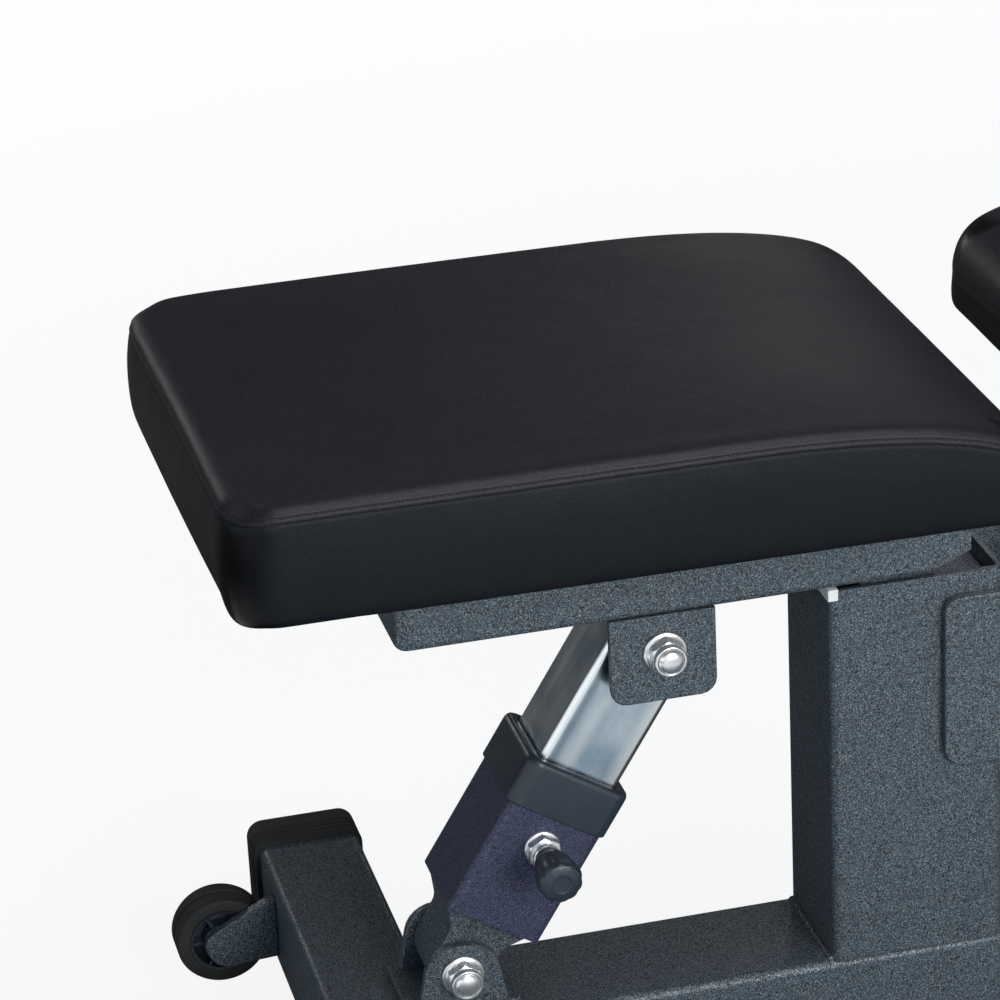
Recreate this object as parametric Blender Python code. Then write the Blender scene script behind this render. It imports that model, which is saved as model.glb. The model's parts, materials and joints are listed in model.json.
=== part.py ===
# Adjustable utility bench: tilting seat on a telescoping strut, and a backrest set by a pinned sector.
# Metres, +Z up, X along the bench (seat at -X, backrest at +X), floor at Z = 0.

import math

import bmesh
import bpy
from mathutils import Vector

# Pads
SEAT_X0 = -0.650
SEAT_LENGTH = 0.426
BACK_X0 = -0.170
BACK_LENGTH = 0.820
PAD_WIDTH = 0.310
PAD_BOTTOM = 0.380
PAD_EDGE = 0.060
PAD_TOP = 0.066
PAD_CROWN = 0.004
PAD_CORNER = 0.028
ROLL_LENGTH = 0.125
ROLL_DROP = 0.050
BOARD_THICKNESS = 0.012
BOARD_INSET = 0.008

# Steel sections
BEAM_WIDTH = 0.080
BEAM_HEIGHT = 0.070
BEAM_BOTTOM = 0.302
BEAM_CORNER = 0.004
WALL = 0.003
SEAT_BEAM_X = (-0.541, -0.225)
BACK_BEAM_X = (-0.145, 0.575)
MOUNT_LENGTH = 0.050
MOUNT_WIDTH = 0.220
MOUNT_THICKNESS = 0.0074
SEAT_MOUNTS_X = (-0.500, -0.345)
BACK_MOUNTS_X = (-0.020, 0.480)
MOUNT_BOLT_Y = 0.095

# Floor frame
TUBE_BOTTOM = 0.010
TUBE_SIDE = 0.060
RAIL_X = (-0.5297, 0.4097)
FRONT_FOOT_X = -0.560
REAR_FOOT_X = 0.440
FRONT_FOOT_HALF = 0.222
REAR_FOOT_HALF = 0.280
RAIL_TOP = TUBE_BOTTOM + TUBE_SIDE
CAP_SIDE = 0.066
CAP_HEIGHT = 0.073
CAP_LENGTH = 0.031
WHEEL_AT = (-0.622, 0.033)
WHEEL_RADIUS = 0.028
WHEEL_WIDTH = 0.024

# Post and hinges
POST_X = (-0.306, -0.206)
POST_TOP = 0.3005
SEAT_HINGE = (-0.265, 0.345)
BACK_HINGE = (-0.120, 0.357)
HEAD_PLATE = 0.006
PEG_RADIUS = 0.007
PEG_REACH = 0.045
REST_PAD_WIDTH = 0.0285
REST_PAD_DEPTH = 0.0056

# Strut
STRUT_TOP = (-0.3992, 0.280)
STRUT_ANGLE = math.radians(57.57)
STRUT_LENGTH = 0.220
INNER_SIDE = 0.050
OUTER_SIDE = 0.060
COLLAR_SIDE = 0.065
INNER_WALL = 0.0025
OUTER_SPAN = (0.034, 0.125)
COLLAR_SPAN = (0.1055, 0.1335)
STRUT_PIN_AT = 0.088
STRUT_HOLES = (0.088, 0.0752, 0.0624)
BRACKET_X = (-0.4295, -0.3700)
BRACKET_BOTTOM = 0.251
BRACKET_THICKNESS = 0.005

# Backrest sector
SECTOR_RADIUS = 0.105
SECTOR_PIN_ANGLE = -45.0
SECTOR_STEP = 15.0
SECTOR_HOLES = 6
SECTOR_Y = (-0.037, -0.029)

# Pull pins, parked out by their travel
STRUT_PIN_TRAVEL = 0.006
STRUT_PIN_TIP = -0.0262
BACK_PIN_TRAVEL = 0.010
BACK_PIN_TIP = -0.0385

# Fasteners
BOLT_RADIUS = 0.006
HINGE_PIN_RADIUS = 0.008
MOUNT_BOLT_RADIUS = 0.004
PLUNGER_RADIUS = 0.005
STRUT_PLUNGER_RADIUS = 0.004
HOLE_PLAY = 0.0004
GAP = 0.0003
ROUND = 18

HAMMERTONE = ((0.085, 0.105, 0.125), 0.45, 0.6)
ZINC = ((0.55, 0.60, 0.64), 0.30, 0.9)
VINYL = ((0.020, 0.019, 0.023), 0.50, 0.0)
BLACK_PLASTIC = ((0.030, 0.034, 0.042), 0.40, 0.0)
DARK_TUBE = ((0.020, 0.021, 0.025), 0.45, 0.4)
RUBBER = ((0.018, 0.018, 0.018), 0.80, 0.0)
NYLON = ((0.80, 0.80, 0.78), 0.40, 0.0)
PLYWOOD = ((0.45, 0.31, 0.18), 0.70, 0.0)

STRUT_FOOT = (
    STRUT_TOP[0] - STRUT_LENGTH * math.cos(STRUT_ANGLE),
    STRUT_TOP[1] - STRUT_LENGTH * math.sin(STRUT_ANGLE),
)


def finish_of(name, finish):
    colour, roughness, metallic = finish
    material = bpy.data.materials.new(name)
    material.use_nodes = True
    shader = material.node_tree.nodes["Principled BSDF"]
    shader.inputs["Base Color"].default_value = (*colour, 1.0)
    shader.inputs["Roughness"].default_value = roughness
    shader.inputs["Metallic"].default_value = metallic
    return material


def solid(name, vertices, faces, finish, pivot=(0.0, 0.0, 0.0)):
    """A closed mesh object whose origin is the pivot, in world axes."""
    pivot = Vector(pivot)
    mesh = bpy.data.meshes.new(name)
    mesh.from_pydata([Vector(v) - pivot for v in vertices], [], faces)
    bm = bmesh.new()
    bm.from_mesh(mesh)
    bmesh.ops.recalc_face_normals(bm, faces=bm.faces)
    bm.to_mesh(mesh)
    bm.free()
    mesh.shade_smooth()
    mesh.set_sharp_from_angle(angle=math.radians(32))
    obj = bpy.data.objects.new(name, mesh)
    obj.location = pivot
    bpy.context.scene.collection.objects.link(obj)
    if finish is not None:
        mesh.materials.append(finish_of(name, finish))
    return obj


def loft(name, rings, finish, pivot=(0.0, 0.0, 0.0), ring_shaped=False):
    """A skin through rings of equal length, capped at both ends or closed on itself."""
    count = len(rings[0])
    vertices = [point for ring in rings for point in ring]
    faces = []
    pairs = len(rings) if ring_shaped else len(rings) - 1
    for i in range(pairs):
        near = i * count
        far = (i + 1) % len(rings) * count
        for j in range(count):
            k = (j + 1) % count
            faces.append((near + j, near + k, far + k, far + j))
    if not ring_shaped:
        faces.append(tuple(range(count)))
        faces.append(tuple(range(len(vertices) - count, len(vertices))))
    return solid(name, vertices, faces, finish, pivot)


def along(axis, u, v, w):
    """World point for section coordinates u, v at distance w along an axis."""
    return {"X": (w, u, v), "Y": (u, w, v), "Z": (u, v, w)}[axis]


def on_strut(off, y, distance):
    """World point on the strut: distance from its foot, off towards its upper side."""
    c = math.cos(STRUT_ANGLE)
    s = math.sin(STRUT_ANGLE)
    x = STRUT_FOOT[0] + distance * c - off * s
    z = STRUT_FOOT[1] + distance * s + off * c
    return (x, y, z)


def fillet(corners, steps=4):
    """An outline from corners (x, y, radius), each rounded by its radius."""
    points = []
    count = len(corners)
    for i, (x, y, radius) in enumerate(corners):
        here = Vector((x, y))
        if radius <= 0.0:
            points.append((x, y))
            continue
        before = (Vector(corners[i - 1][:2]) - here).normalized()
        after = (Vector(corners[(i + 1) % count][:2]) - here).normalized()
        half = before.angle(after) / 2
        middle = (before + after).normalized() * radius / math.sin(half)
        start = (before * radius / math.tan(half) - middle)
        end = (after * radius / math.tan(half) - middle)
        turn = start.angle_signed(end)
        for k in range(steps + 1):
            a = -turn * k / steps
            c = math.cos(a)
            s = math.sin(a)
            points.append((x + middle.x + c * start.x - s * start.y,
                           y + middle.y + s * start.x + c * start.y))
    return points


def inset(outline, distance):
    """The outline moved inwards by a small distance, corner for corner."""
    area = sum(a[0] * b[1] - b[0] * a[1] for a, b in zip(outline, outline[1:] + outline[:1]))
    side = 1.0 if area > 0 else -1.0
    moved = []
    for i, point in enumerate(outline):
        before = (Vector(point) - Vector(outline[i - 1])).normalized()
        after = (Vector(outline[(i + 1) % len(outline)]) - Vector(point)).normalized()
        normal = Vector((-before.y - after.y, before.x + after.x)).normalized()
        bend = max(0.5, normal.dot(Vector((-after.y, after.x))))
        moved.append(tuple(Vector(point) + normal * side * distance / bend))
    return moved


def rectangle(width, height, radius, centre=(0.0, 0.0), steps=4):
    u, v = centre
    w = width / 2
    h = height / 2
    corners = [(u + w, v + h), (u - w, v + h), (u - w, v - h), (u + w, v - h)]
    return fillet([(a, b, radius) for a, b in corners], steps)


def circle(radius, centre=(0.0, 0.0), count=ROUND):
    step = math.tau / count
    return [(centre[0] + radius * math.cos(i * step), centre[1] + radius * math.sin(i * step))
            for i in range(count)]


def hexagon(across_flats, centre, count=ROUND):
    """A hexagon with its points spread along its sides, so that it lofts into circles."""
    points = []
    for i in range(count):
        a = i * math.tau / count
        nearest = (a + math.pi / 6) % (math.pi / 3) - math.pi / 6
        r = across_flats / 2 / math.cos(nearest)
        points.append((centre[0] + r * math.cos(a), centre[1] + r * math.sin(a)))
    return points


def plate(name, outline, axis, low, high, finish, pivot=(0.0, 0.0, 0.0), chamfer=0.0007):
    """A flat piece cut to an outline, with its edges broken by a small chamfer."""
    small = inset(outline, chamfer)
    levels = ((small, low), (outline, low + chamfer), (outline, high - chamfer), (small, high))
    rings = [[along(axis, u, v, w) for u, v in ring] for ring, w in levels]
    return loft(name, rings, finish, pivot)


def tube(name, axis, outline, wall, low, high, finish, pivot=(0.0, 0.0, 0.0)):
    """An open-ended tube of constant wall."""
    bore = inset(outline, wall)
    levels = ((outline, low), (outline, high), (bore, high), (bore, low))
    rings = [[along(axis, u, v, w) for u, v in ring] for ring, w in levels]
    return loft(name, rings, finish, pivot, ring_shaped=True)


def turned(name, axis, centre, profile, finish, pivot=(0.0, 0.0, 0.0), hollow=False, count=ROUND):
    """A piece turned about an axis, from (radius, distance) or (outline function, distance)."""
    rings = []
    for radius, w in profile:
        section = radius(centre) if callable(radius) else circle(radius, centre, count)
        rings.append([along(axis, u, v, w) for u, v in section])
    return loft(name, rings, finish, pivot, ring_shaped=hollow)


def cutter(obj):
    obj.hide_render = True
    obj.display_type = "WIRE"
    return obj


def combine(obj, others, operation="DIFFERENCE"):
    for other in others:
        cutter(other)
        change = obj.modifiers.new(operation.title(), "BOOLEAN")
        change.operation = operation
        change.solver = "EXACT"
        change.object = other
    return obj


def rod(name, axis, centre, radius, low, high, count=ROUND):
    return turned(name, axis, centre, ((radius, low), (radius, high)), None, count=count)


def block(name, low, high):
    outline = [(low[0], low[1]), (high[0], low[1]), (high[0], high[1]), (low[0], high[1])]
    rings = [[(x, y, z) for x, y in outline] for z in (low[2], high[2])]
    return loft(name, rings, None)


def pad_height(x, x_roll, towards):
    """Share of the pad's full height left at x, where one end rolls down as a quarter ellipse."""
    reach = (x - x_roll) * towards
    if reach <= 0.0:
        return 1.0
    u = min(reach / ROLL_LENGTH, 0.995)
    return 1.0 - ROLL_DROP * (1.0 - math.sqrt(1.0 - u * u)) / PAD_TOP


def pad_outline(x0, x1, margin, corner):
    """Plan outline of a pad, with extra points along its sides to follow the roll and the crown."""
    half = PAD_WIDTH / 2 - margin
    low = x0 + margin
    high = x1 - margin
    corner = max(corner - margin, 0.006)
    bend = 4
    arcs = fillet([(high, half, corner), (low, half, corner), (low, -half, corner),
                   (high, -half, corner)], bend)
    arcs = [arcs[i:i + bend + 1] for i in range(0, len(arcs), bend + 1)]
    points = []
    for i, arc in enumerate(arcs):
        points.extend(arc)
        start = Vector(arc[-1])
        end = Vector(arcs[(i + 1) % 4][0])
        parts = 14 if i % 2 == 0 else 5
        points.extend(tuple(start.lerp(end, k / parts)) for k in range(1, parts))
    return points


def crown(x, y, x0, x1):
    """Rise of the stuffed top above its edge."""
    across = 2.0 * y / PAD_WIDTH
    lengthwise = (2.0 * x - x0 - x1) / (x1 - x0)
    return PAD_CROWN * (1.0 - across ** 2) * (1.0 - lengthwise ** 4)


def cushion(name, x0, x1, rolled_end, pivot):
    """Upholstered pad: drawn-in sides, a seam below the rounded edge, a crowned top, and a
    recess underneath for its board."""
    towards = 1.0 if rolled_end == x1 else -1.0
    x_roll = rolled_end - towards * ROLL_LENGTH
    recess = BOARD_INSET - GAP
    seam = PAD_EDGE / PAD_TOP
    sides = ((0.004, 0.0), (0.0005, 0.06), (0.0, 0.14), (0.0025, 0.35), (0.0025, 0.62),
             (0.0, 0.84), (-0.0002, seam - 0.02), (0.0008, seam), (0.0012, 0.955), (0.0040, 0.990))
    tops = (0.0085, 0.030, 0.070, 0.110, 0.140)
    rings = [[(x, y, PAD_BOTTOM + z) for x, y in pad_outline(x0, x1, recess, PAD_CORNER)]
             for z in (BOARD_THICKNESS + GAP, 0.0)]
    for margin, share in sides:
        rings.append([(x, y, PAD_BOTTOM + share * PAD_TOP * pad_height(x, x_roll, towards))
                      for x, y in pad_outline(x0, x1, margin, PAD_CORNER)])
    for margin in tops:
        rings.append([(x, y, PAD_BOTTOM + PAD_TOP * pad_height(x, x_roll, towards)
                       + crown(x, y, x0, x1))
                      for x, y in pad_outline(x0, x1, margin, PAD_CORNER)])
    return loft(name, rings, VINYL, pivot)


def flange_nut(name, axis, centre, face, out, bore, flange, across, height, pivot):
    """Self-locking flange nut: washer face, hexagon and the round collar of its locking ring."""
    hexed = lambda c: hexagon(across, c)
    chamfered = lambda c: hexagon(across * 0.96, c)
    collar = across * 0.465
    levels = ((bore, 0.0), (flange, 0.0), (flange, 0.0012), (across * 0.56, 0.0030),
              (hexed, 0.0034), (hexed, height * 0.62), (chamfered, height * 0.66),
              (collar, height * 0.70), (collar, height * 0.93), (collar * 0.9, height),
              (bore, height))
    profile = [(radius, face + out * w) for radius, w in levels]
    return turned(name, axis, centre, profile, ZINC, pivot, hollow=True)


def flange_bolt(name, axis, centre, face, out, shank, reach, across, height, pivot):
    """Hexagon flange bolt: head outside the face, shank back through the joint."""
    hexed = lambda c: hexagon(across, c)
    domed = lambda c: hexagon(across * 0.94, c)
    levels = ((shank * 0.84, -reach), (shank, -reach + 0.0012), (shank, 0.0), (across * 0.66, 0.0),
              (across * 0.66, 0.0014), (across * 0.56, 0.0028), (hexed, 0.0032),
              (hexed, height * 0.92), (domed, height))
    profile = [(radius, face + out * w) for radius, w in levels]
    return turned(name, axis, centre, profile, ZINC, pivot)


def mount_bolt(name, x, y, pivot):
    """Small hexagon bolt up through a mounting plate into the pad's board."""
    head = PAD_BOTTOM - MOUNT_THICKNESS - 2 * GAP
    hexed = lambda c: hexagon(0.013, c, 12)
    domed = lambda c: hexagon(0.0122, c, 12)
    profile = ((domed, head - 0.0055), (hexed, head - 0.0048), (hexed, head - 0.0012),
               (0.0088, head - 0.0011), (0.0088, head), (MOUNT_BOLT_RADIUS, head),
               (MOUNT_BOLT_RADIUS, head + 0.0170))
    return turned(name, "Z", (x, y), profile, ZINC, pivot, count=12)


def foot_cap(name, x, half, side):
    """Moulded end cap and foot: a cup over the tube's end, thicker below to reach the floor."""
    inner = rectangle(TUBE_SIDE + 2 * GAP, TUBE_SIDE + 2 * GAP, 0.0053,
                      (x, TUBE_BOTTOM + TUBE_SIDE / 2))
    outer = rectangle(CAP_SIDE, CAP_HEIGHT, 0.010, (x, CAP_HEIGHT / 2))
    mouth = half - CAP_LENGTH + 0.005
    levels = ((inner, half + GAP), (inner, mouth), (outer, mouth), (outer, half + 0.002),
              (inset(outer, 0.0015), half + 0.0045), (inset(outer, 0.005), half + 0.006))
    rings = [[(u, side * w, v) for u, v in ring] for ring, w in levels]
    return loft(name, rings, RUBBER)


def wheel(name, side):
    """Solid transport wheel with a dished web, turning on the stub of its bracket."""
    x, z = WHEEL_AT
    near = 0.157
    far = near + WHEEL_WIDTH
    bore = 0.0063
    levels = ((bore, near), (0.011, near), (0.013, near + 0.004), (0.020, near + 0.004),
              (0.022, near), (WHEEL_RADIUS - 0.002, near), (WHEEL_RADIUS, near + 0.003),
              (WHEEL_RADIUS, far - 0.003), (WHEEL_RADIUS - 0.002, far), (0.022, far),
              (0.020, far - 0.004), (0.013, far - 0.004), (0.011, far), (bore, far))
    profile = [(radius, side * w) for radius, w in levels]
    return turned(name, "Y", (x, z), profile, RUBBER, (x, side * (near + far) / 2, z), hollow=True)


def wheel_bracket(name, side):
    """Flat bracket on the front foot, with the axle stub that carries the wheel."""
    x, z = WHEEL_AT
    face = FRONT_FOOT_X - TUBE_SIDE / 2 - GAP
    outline = fillet([(face, z + 0.026, 0.0), (face - 0.006, z + 0.026, 0.003),
                      (x, z + 0.013, 0.012), (x - 0.016, z + 0.004, 0.010),
                      (x - 0.004, z - 0.014, 0.010), (face, z - 0.012, 0.0)])
    arm = plate(name, outline, "Y", *sorted((side * 0.150, side * 0.156)), HAMMERTONE)
    stub = turned(name + "_stub", "Y", WHEEL_AT,
                  ((0.0060, side * 0.152), (0.0060, side * 0.1815), (0.0100, side * 0.1815),
                   (0.0100, side * 0.1840), (0.0075, side * 0.1860)), None)
    return combine(arm, [stub], "UNION")


def floor_frame():
    rail = rectangle(BEAM_WIDTH, TUBE_SIDE, 0.005, (0.0, TUBE_BOTTOM + TUBE_SIDE / 2))
    tube("base_rail", "X", rail, WALL, *RAIL_X, HAMMERTONE)
    for end, x, half in (("front", FRONT_FOOT_X, FRONT_FOOT_HALF),
                         ("rear", REAR_FOOT_X, REAR_FOOT_HALF)):
        section = rectangle(TUBE_SIDE, TUBE_SIDE, 0.005, (x, TUBE_BOTTOM + TUBE_SIDE / 2))
        tube(end + "_stabiliser", "Y", section, WALL, -half, half, HAMMERTONE)
        foot_cap(end + "_foot_left", x, half, -1.0)
        foot_cap(end + "_foot_right", x, half, 1.0)
    wheel_bracket("wheel_bracket_left", -1.0)
    wheel_bracket("wheel_bracket_right", 1.0)
    wheel("wheel_left", -1.0)
    wheel("wheel_right", 1.0)


def lifting_handle():
    """Bent bar at the rear, to lift the bench onto its wheels."""
    face = REAR_FOOT_X + TUBE_SIDE / 2 + GAP
    reach = 0.062
    half = 0.075
    radius = 0.009
    z = TUBE_BOTTOM + TUBE_SIDE / 2
    path = [(face, -half)]
    for k in range(7):
        a = math.radians(-90 + 15 * k)
        path.append((face + reach - 0.025 + 0.025 * math.cos(a), -half + 0.025 + 0.025 * math.sin(a)))
    path = path + [(x, -y) for x, y in reversed(path)]
    rings = []
    for i, (x, y) in enumerate(path):
        before = Vector(path[max(i - 1, 0)])
        after = Vector(path[min(i + 1, len(path) - 1)])
        run = (after - before).normalized()
        if i in (0, len(path) - 1):
            run = Vector((1.0 if i == 0 else -1.0, 0.0))
        side = Vector((-run.y, run.x))
        rings.append([(x + side.x * u, y + side.y * u, z + v) for u, v in circle(radius, count=16)])
    loft("rear_handle", rings, ZINC)


def post():
    """Upright tube with two notches for the rest pads, the hinge yoke in its top, and a gusset."""
    middle = (POST_X[0] + POST_X[1]) / 2
    section = rectangle(POST_X[1] - POST_X[0], BEAM_WIDTH, 0.005, (middle, 0.0))
    upright = tube("main_post", "Z", section, WALL, RAIL_TOP + GAP, POST_TOP, HAMMERTONE)
    notches = []
    inner = BEAM_WIDTH / 2 - REST_PAD_WIDTH
    for word, side in (("left", -1.0), ("right", 1.0)):
        low_y, high_y = sorted((side * (inner - GAP), side * 0.045))
        notch = block("notch_" + word, (POST_X[0] - 0.004, low_y, POST_TOP - 0.0063),
                      (POST_X[0] + REST_PAD_DEPTH - 0.0003, high_y, POST_TOP + 0.01))
        notches.append(notch)
        low_y, high_y = sorted((side * inner, side * (BEAM_WIDTH / 2 + 0.0006)))
        outline = fillet([(low_y, POST_TOP - 0.0060, 0.001), (high_y, POST_TOP - 0.0060, 0.001),
                          (high_y, BEAM_BOTTOM - GAP, 0.001), (low_y, BEAM_BOTTOM - GAP, 0.001)], 2)
        plate("rest_pad_" + word, outline, "X", POST_X[0] - 0.0010,
              POST_X[0] + REST_PAD_DEPTH - 0.0006, NYLON, chamfer=0.0004)
    combine(upright, notches)

    lug_x, lug_z = SEAT_HINGE
    yoke_section = rectangle(POST_X[1] - POST_X[0] - 2 * WALL - 2 * GAP,
                             BEAM_WIDTH - 2 * WALL - 2 * GAP, 0.003, (middle, 0.0), 2)
    yoke = plate("hinge_yoke", yoke_section, "Z", POST_TOP - 0.0165, POST_TOP - 0.0105, HAMMERTONE)
    lug = fillet([(lug_x - 0.022, POST_TOP - 0.013, 0.0), (lug_x - 0.020, lug_z + 0.020, 0.0199),
                  (lug_x + 0.020, lug_z + 0.020, 0.0199), (lug_x + 0.022, POST_TOP - 0.013, 0.0)], 6)
    lugs = [plate("yoke_lug_left", lug, "Y", -0.034, -0.028, None),
            plate("yoke_lug_right", lug, "Y", 0.028, 0.034, None)]
    combine(yoke, lugs, "UNION")
    combine(yoke, [rod("yoke_bore", "Y", SEAT_HINGE, BOLT_RADIUS + HOLE_PLAY, -0.04, 0.04)])

    rear = POST_X[1] + GAP
    gusset = fillet([(rear, RAIL_TOP + GAP, 0.0), (rear + 0.085, RAIL_TOP + GAP, 0.0),
                     (rear + 0.085, RAIL_TOP + 0.012, 0.004), (rear + 0.012, RAIL_TOP + 0.090, 0.004),
                     (rear, RAIL_TOP + 0.090, 0.0)])
    plate("post_gusset", gusset, "Y", -0.003, 0.003, HAMMERTONE)


def pin_point(angle):
    a = math.radians(angle)
    return (BACK_HINGE[0] + SECTOR_RADIUS * math.cos(a), BACK_HINGE[1] + SECTOR_RADIUS * math.sin(a))


def head_plates():
    """Side plates from the post to the backrest hinge and to the adjustment pin. The right one
    carries the peg that the level backrest rests on."""
    hx, hz = BACK_HINGE
    peg = (hx + PEG_REACH, BEAM_BOTTOM - GAP - PEG_RADIUS)
    px, pz = pin_point(SECTOR_PIN_ANGLE)
    outline = fillet([(POST_X[1] - 0.036, 0.185, 0.012), (POST_X[1] + 0.040, 0.185, 0.060),
                      (px + 0.004, pz - 0.024, 0.022), (px + 0.027, pz + 0.010, 0.020),
                      (hx + 0.019, hz + 0.022, 0.020), (hx - 0.021, hz + 0.018, 0.017),
                      (hx - 0.010, 0.300, 0.030), (hx - 0.050, 0.288, 0.030),
                      (POST_X[1] - 0.036, 0.288, 0.008)], 5)
    for word, side in (("left", -1.0), ("right", 1.0)):
        low, high = sorted((side * (BEAM_WIDTH / 2 + GAP), side * (BEAM_WIDTH / 2 + GAP + HEAD_PLATE)))
        side_plate = plate("head_plate_" + word, outline, "Y", low, high, HAMMERTONE)
        if side > 0:
            combine(side_plate, [rod("rest_peg", "Y", peg, PEG_RADIUS, 0.010, low + 0.003)], "UNION")
        cuts = [rod("head_bore_" + word, "Y", BACK_HINGE, HINGE_PIN_RADIUS + HOLE_PLAY,
                    low - 0.01, high + 0.01)]
        if side < 0:
            cuts.append(rod("head_pin_bore", "Y", (px, pz), PLUNGER_RADIUS + HOLE_PLAY,
                            low - 0.01, high + 0.01))
        combine(side_plate, cuts)


def beam_section():
    return rectangle(BEAM_WIDTH, BEAM_HEIGHT, BEAM_CORNER, (0.0, BEAM_BOTTOM + BEAM_HEIGHT / 2))


def mounting_plate(name, x, pivot):
    half = MOUNT_LENGTH / 2
    wide = MOUNT_WIDTH / 2
    outline = fillet([(x + half, wide, 0.006), (x - half, wide, 0.006), (x - half, -wide, 0.006),
                      (x + half, -wide, 0.006)])
    top = PAD_BOTTOM - GAP
    flat = plate(name, outline, "Z", top - MOUNT_THICKNESS, top, HAMMERTONE, pivot)
    bores = [rod(name + "_bore" + str(i), "Z", (x, y), MOUNT_BOLT_RADIUS + HOLE_PLAY,
                 top - 0.02, top + 0.01, 12)
             for i, y in enumerate((-MOUNT_BOLT_Y, MOUNT_BOLT_Y))]
    return combine(flat, bores)


def pad_board(name, x0, x1, mounts, pivot):
    outline = pad_outline(x0, x1, BOARD_INSET, PAD_CORNER)
    board = plate(name, outline, "Z", PAD_BOTTOM, PAD_BOTTOM + BOARD_THICKNESS, PLYWOOD, pivot)
    bores = []
    for x in mounts:
        for y in (-MOUNT_BOLT_Y, MOUNT_BOLT_Y):
            bores.append(rod(name + "_bore" + str(len(bores)), "Z", (x, y),
                             MOUNT_BOLT_RADIUS + HOLE_PLAY, PAD_BOTTOM - 0.01,
                             PAD_BOTTOM + BOARD_THICKNESS + 0.01, 12))
    return combine(board, bores)


def upholstery(word, x0, x1, rolled_end, mounts, pivot):
    cushion(word + "_cushion", x0, x1, rolled_end, pivot)
    pad_board(word + "_board", x0, x1, mounts, pivot)
    for end, x in zip(("front", "rear"), mounts):
        mounting_plate(f"{word}_mount_{end}", x, pivot)
        mount_bolt(f"{word}_bolt_{end}_left", x, -MOUNT_BOLT_Y, pivot)
        mount_bolt(f"{word}_bolt_{end}_right", x, MOUNT_BOLT_Y, pivot)


def seat():
    pivot = (SEAT_HINGE[0], 0.0, SEAT_HINGE[1])
    upholstery("seat", SEAT_X0, SEAT_X0 + SEAT_LENGTH, SEAT_X0 + SEAT_LENGTH, SEAT_MOUNTS_X, pivot)
    beam = tube("seat_beam", "X", beam_section(), WALL, *SEAT_BEAM_X, HAMMERTONE, pivot)
    x_end = SEAT_BEAM_X[1]
    hinge_x = SEAT_HINGE[0]
    slot = block("seat_beam_slot", (hinge_x - 0.033, -0.0368, BEAM_BOTTOM - 0.01),
                 (x_end + 0.01, 0.0368, BEAM_BOTTOM + 0.0042))
    mitre = [(hinge_x + 0.0115, BEAM_BOTTOM - 0.01), (hinge_x + 0.0115, BEAM_BOTTOM),
             (x_end + 0.004, BEAM_BOTTOM + 0.0130), (x_end + 0.004, BEAM_BOTTOM - 0.01)]
    wedge = loft("seat_beam_mitre", [[(x, y, z) for x, z in mitre] for y in (-0.05, 0.05)], None)
    bore = rod("seat_beam_bore", "Y", SEAT_HINGE, BOLT_RADIUS + HOLE_PLAY, -0.05, 0.05)
    combine(beam, [slot, wedge, bore])
    plate("seat_beam_end", beam_section(), "X", SEAT_BEAM_X[0] - 0.0043, SEAT_BEAM_X[0] - GAP,
          HAMMERTONE, pivot, chamfer=0.0010)

    outline = fillet([(BRACKET_X[0], BRACKET_BOTTOM, 0.009), (BRACKET_X[1], BRACKET_BOTTOM, 0.009),
                      (BRACKET_X[1], BEAM_BOTTOM - GAP, 0.0), (BRACKET_X[0], BEAM_BOTTOM - GAP, 0.0)])
    for word, side in (("left", -1.0), ("right", 1.0)):
        low, high = sorted((side * (BEAM_WIDTH / 2 - BRACKET_THICKNESS), side * BEAM_WIDTH / 2))
        ear = plate("strut_bracket_" + word, outline, "Y", low, high, HAMMERTONE, pivot)
        combine(ear, [rod("ear_bore_" + word, "Y", STRUT_TOP, BOLT_RADIUS + HOLE_PLAY,
                          low - 0.01, high + 0.01)])
    face = BEAM_WIDTH / 2 + GAP
    flange_bolt("strut_top_bolt", "Y", STRUT_TOP, face, 1.0, BOLT_RADIUS, 2 * face + 0.0145,
                0.018, 0.0085, pivot)
    flange_nut("strut_top_nut", "Y", STRUT_TOP, -face, -1.0, BOLT_RADIUS + GAP, 0.012,
               0.018, 0.0130, pivot)
    flange_bolt("seat_hinge_bolt", "Y", SEAT_HINGE, face, 1.0, BOLT_RADIUS, 2 * face + 0.0130,
                0.018, 0.0085, pivot)
    flange_nut("seat_hinge_nut", "Y", SEAT_HINGE, -face, -1.0, BOLT_RADIUS + GAP, 0.012,
               0.018, 0.0120, pivot)
    turned("seat_hinge_sleeve", "Y", SEAT_HINGE,
           ((BOLT_RADIUS + HOLE_PLAY, -0.0277), (0.010, -0.0277), (0.010, 0.0277),
            (BOLT_RADIUS + HOLE_PLAY, 0.0277)), ZINC, hollow=True)


def strut_section(side, radius, steps=4):
    return rectangle(side, side, radius, steps=steps)


def strut_loft(name, levels, finish, pivot, ring_shaped):
    rings = [[on_strut(u, v, w) for u, v in ring] for ring, w in levels]
    return loft(name, rings, finish, pivot, ring_shaped)


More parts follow.
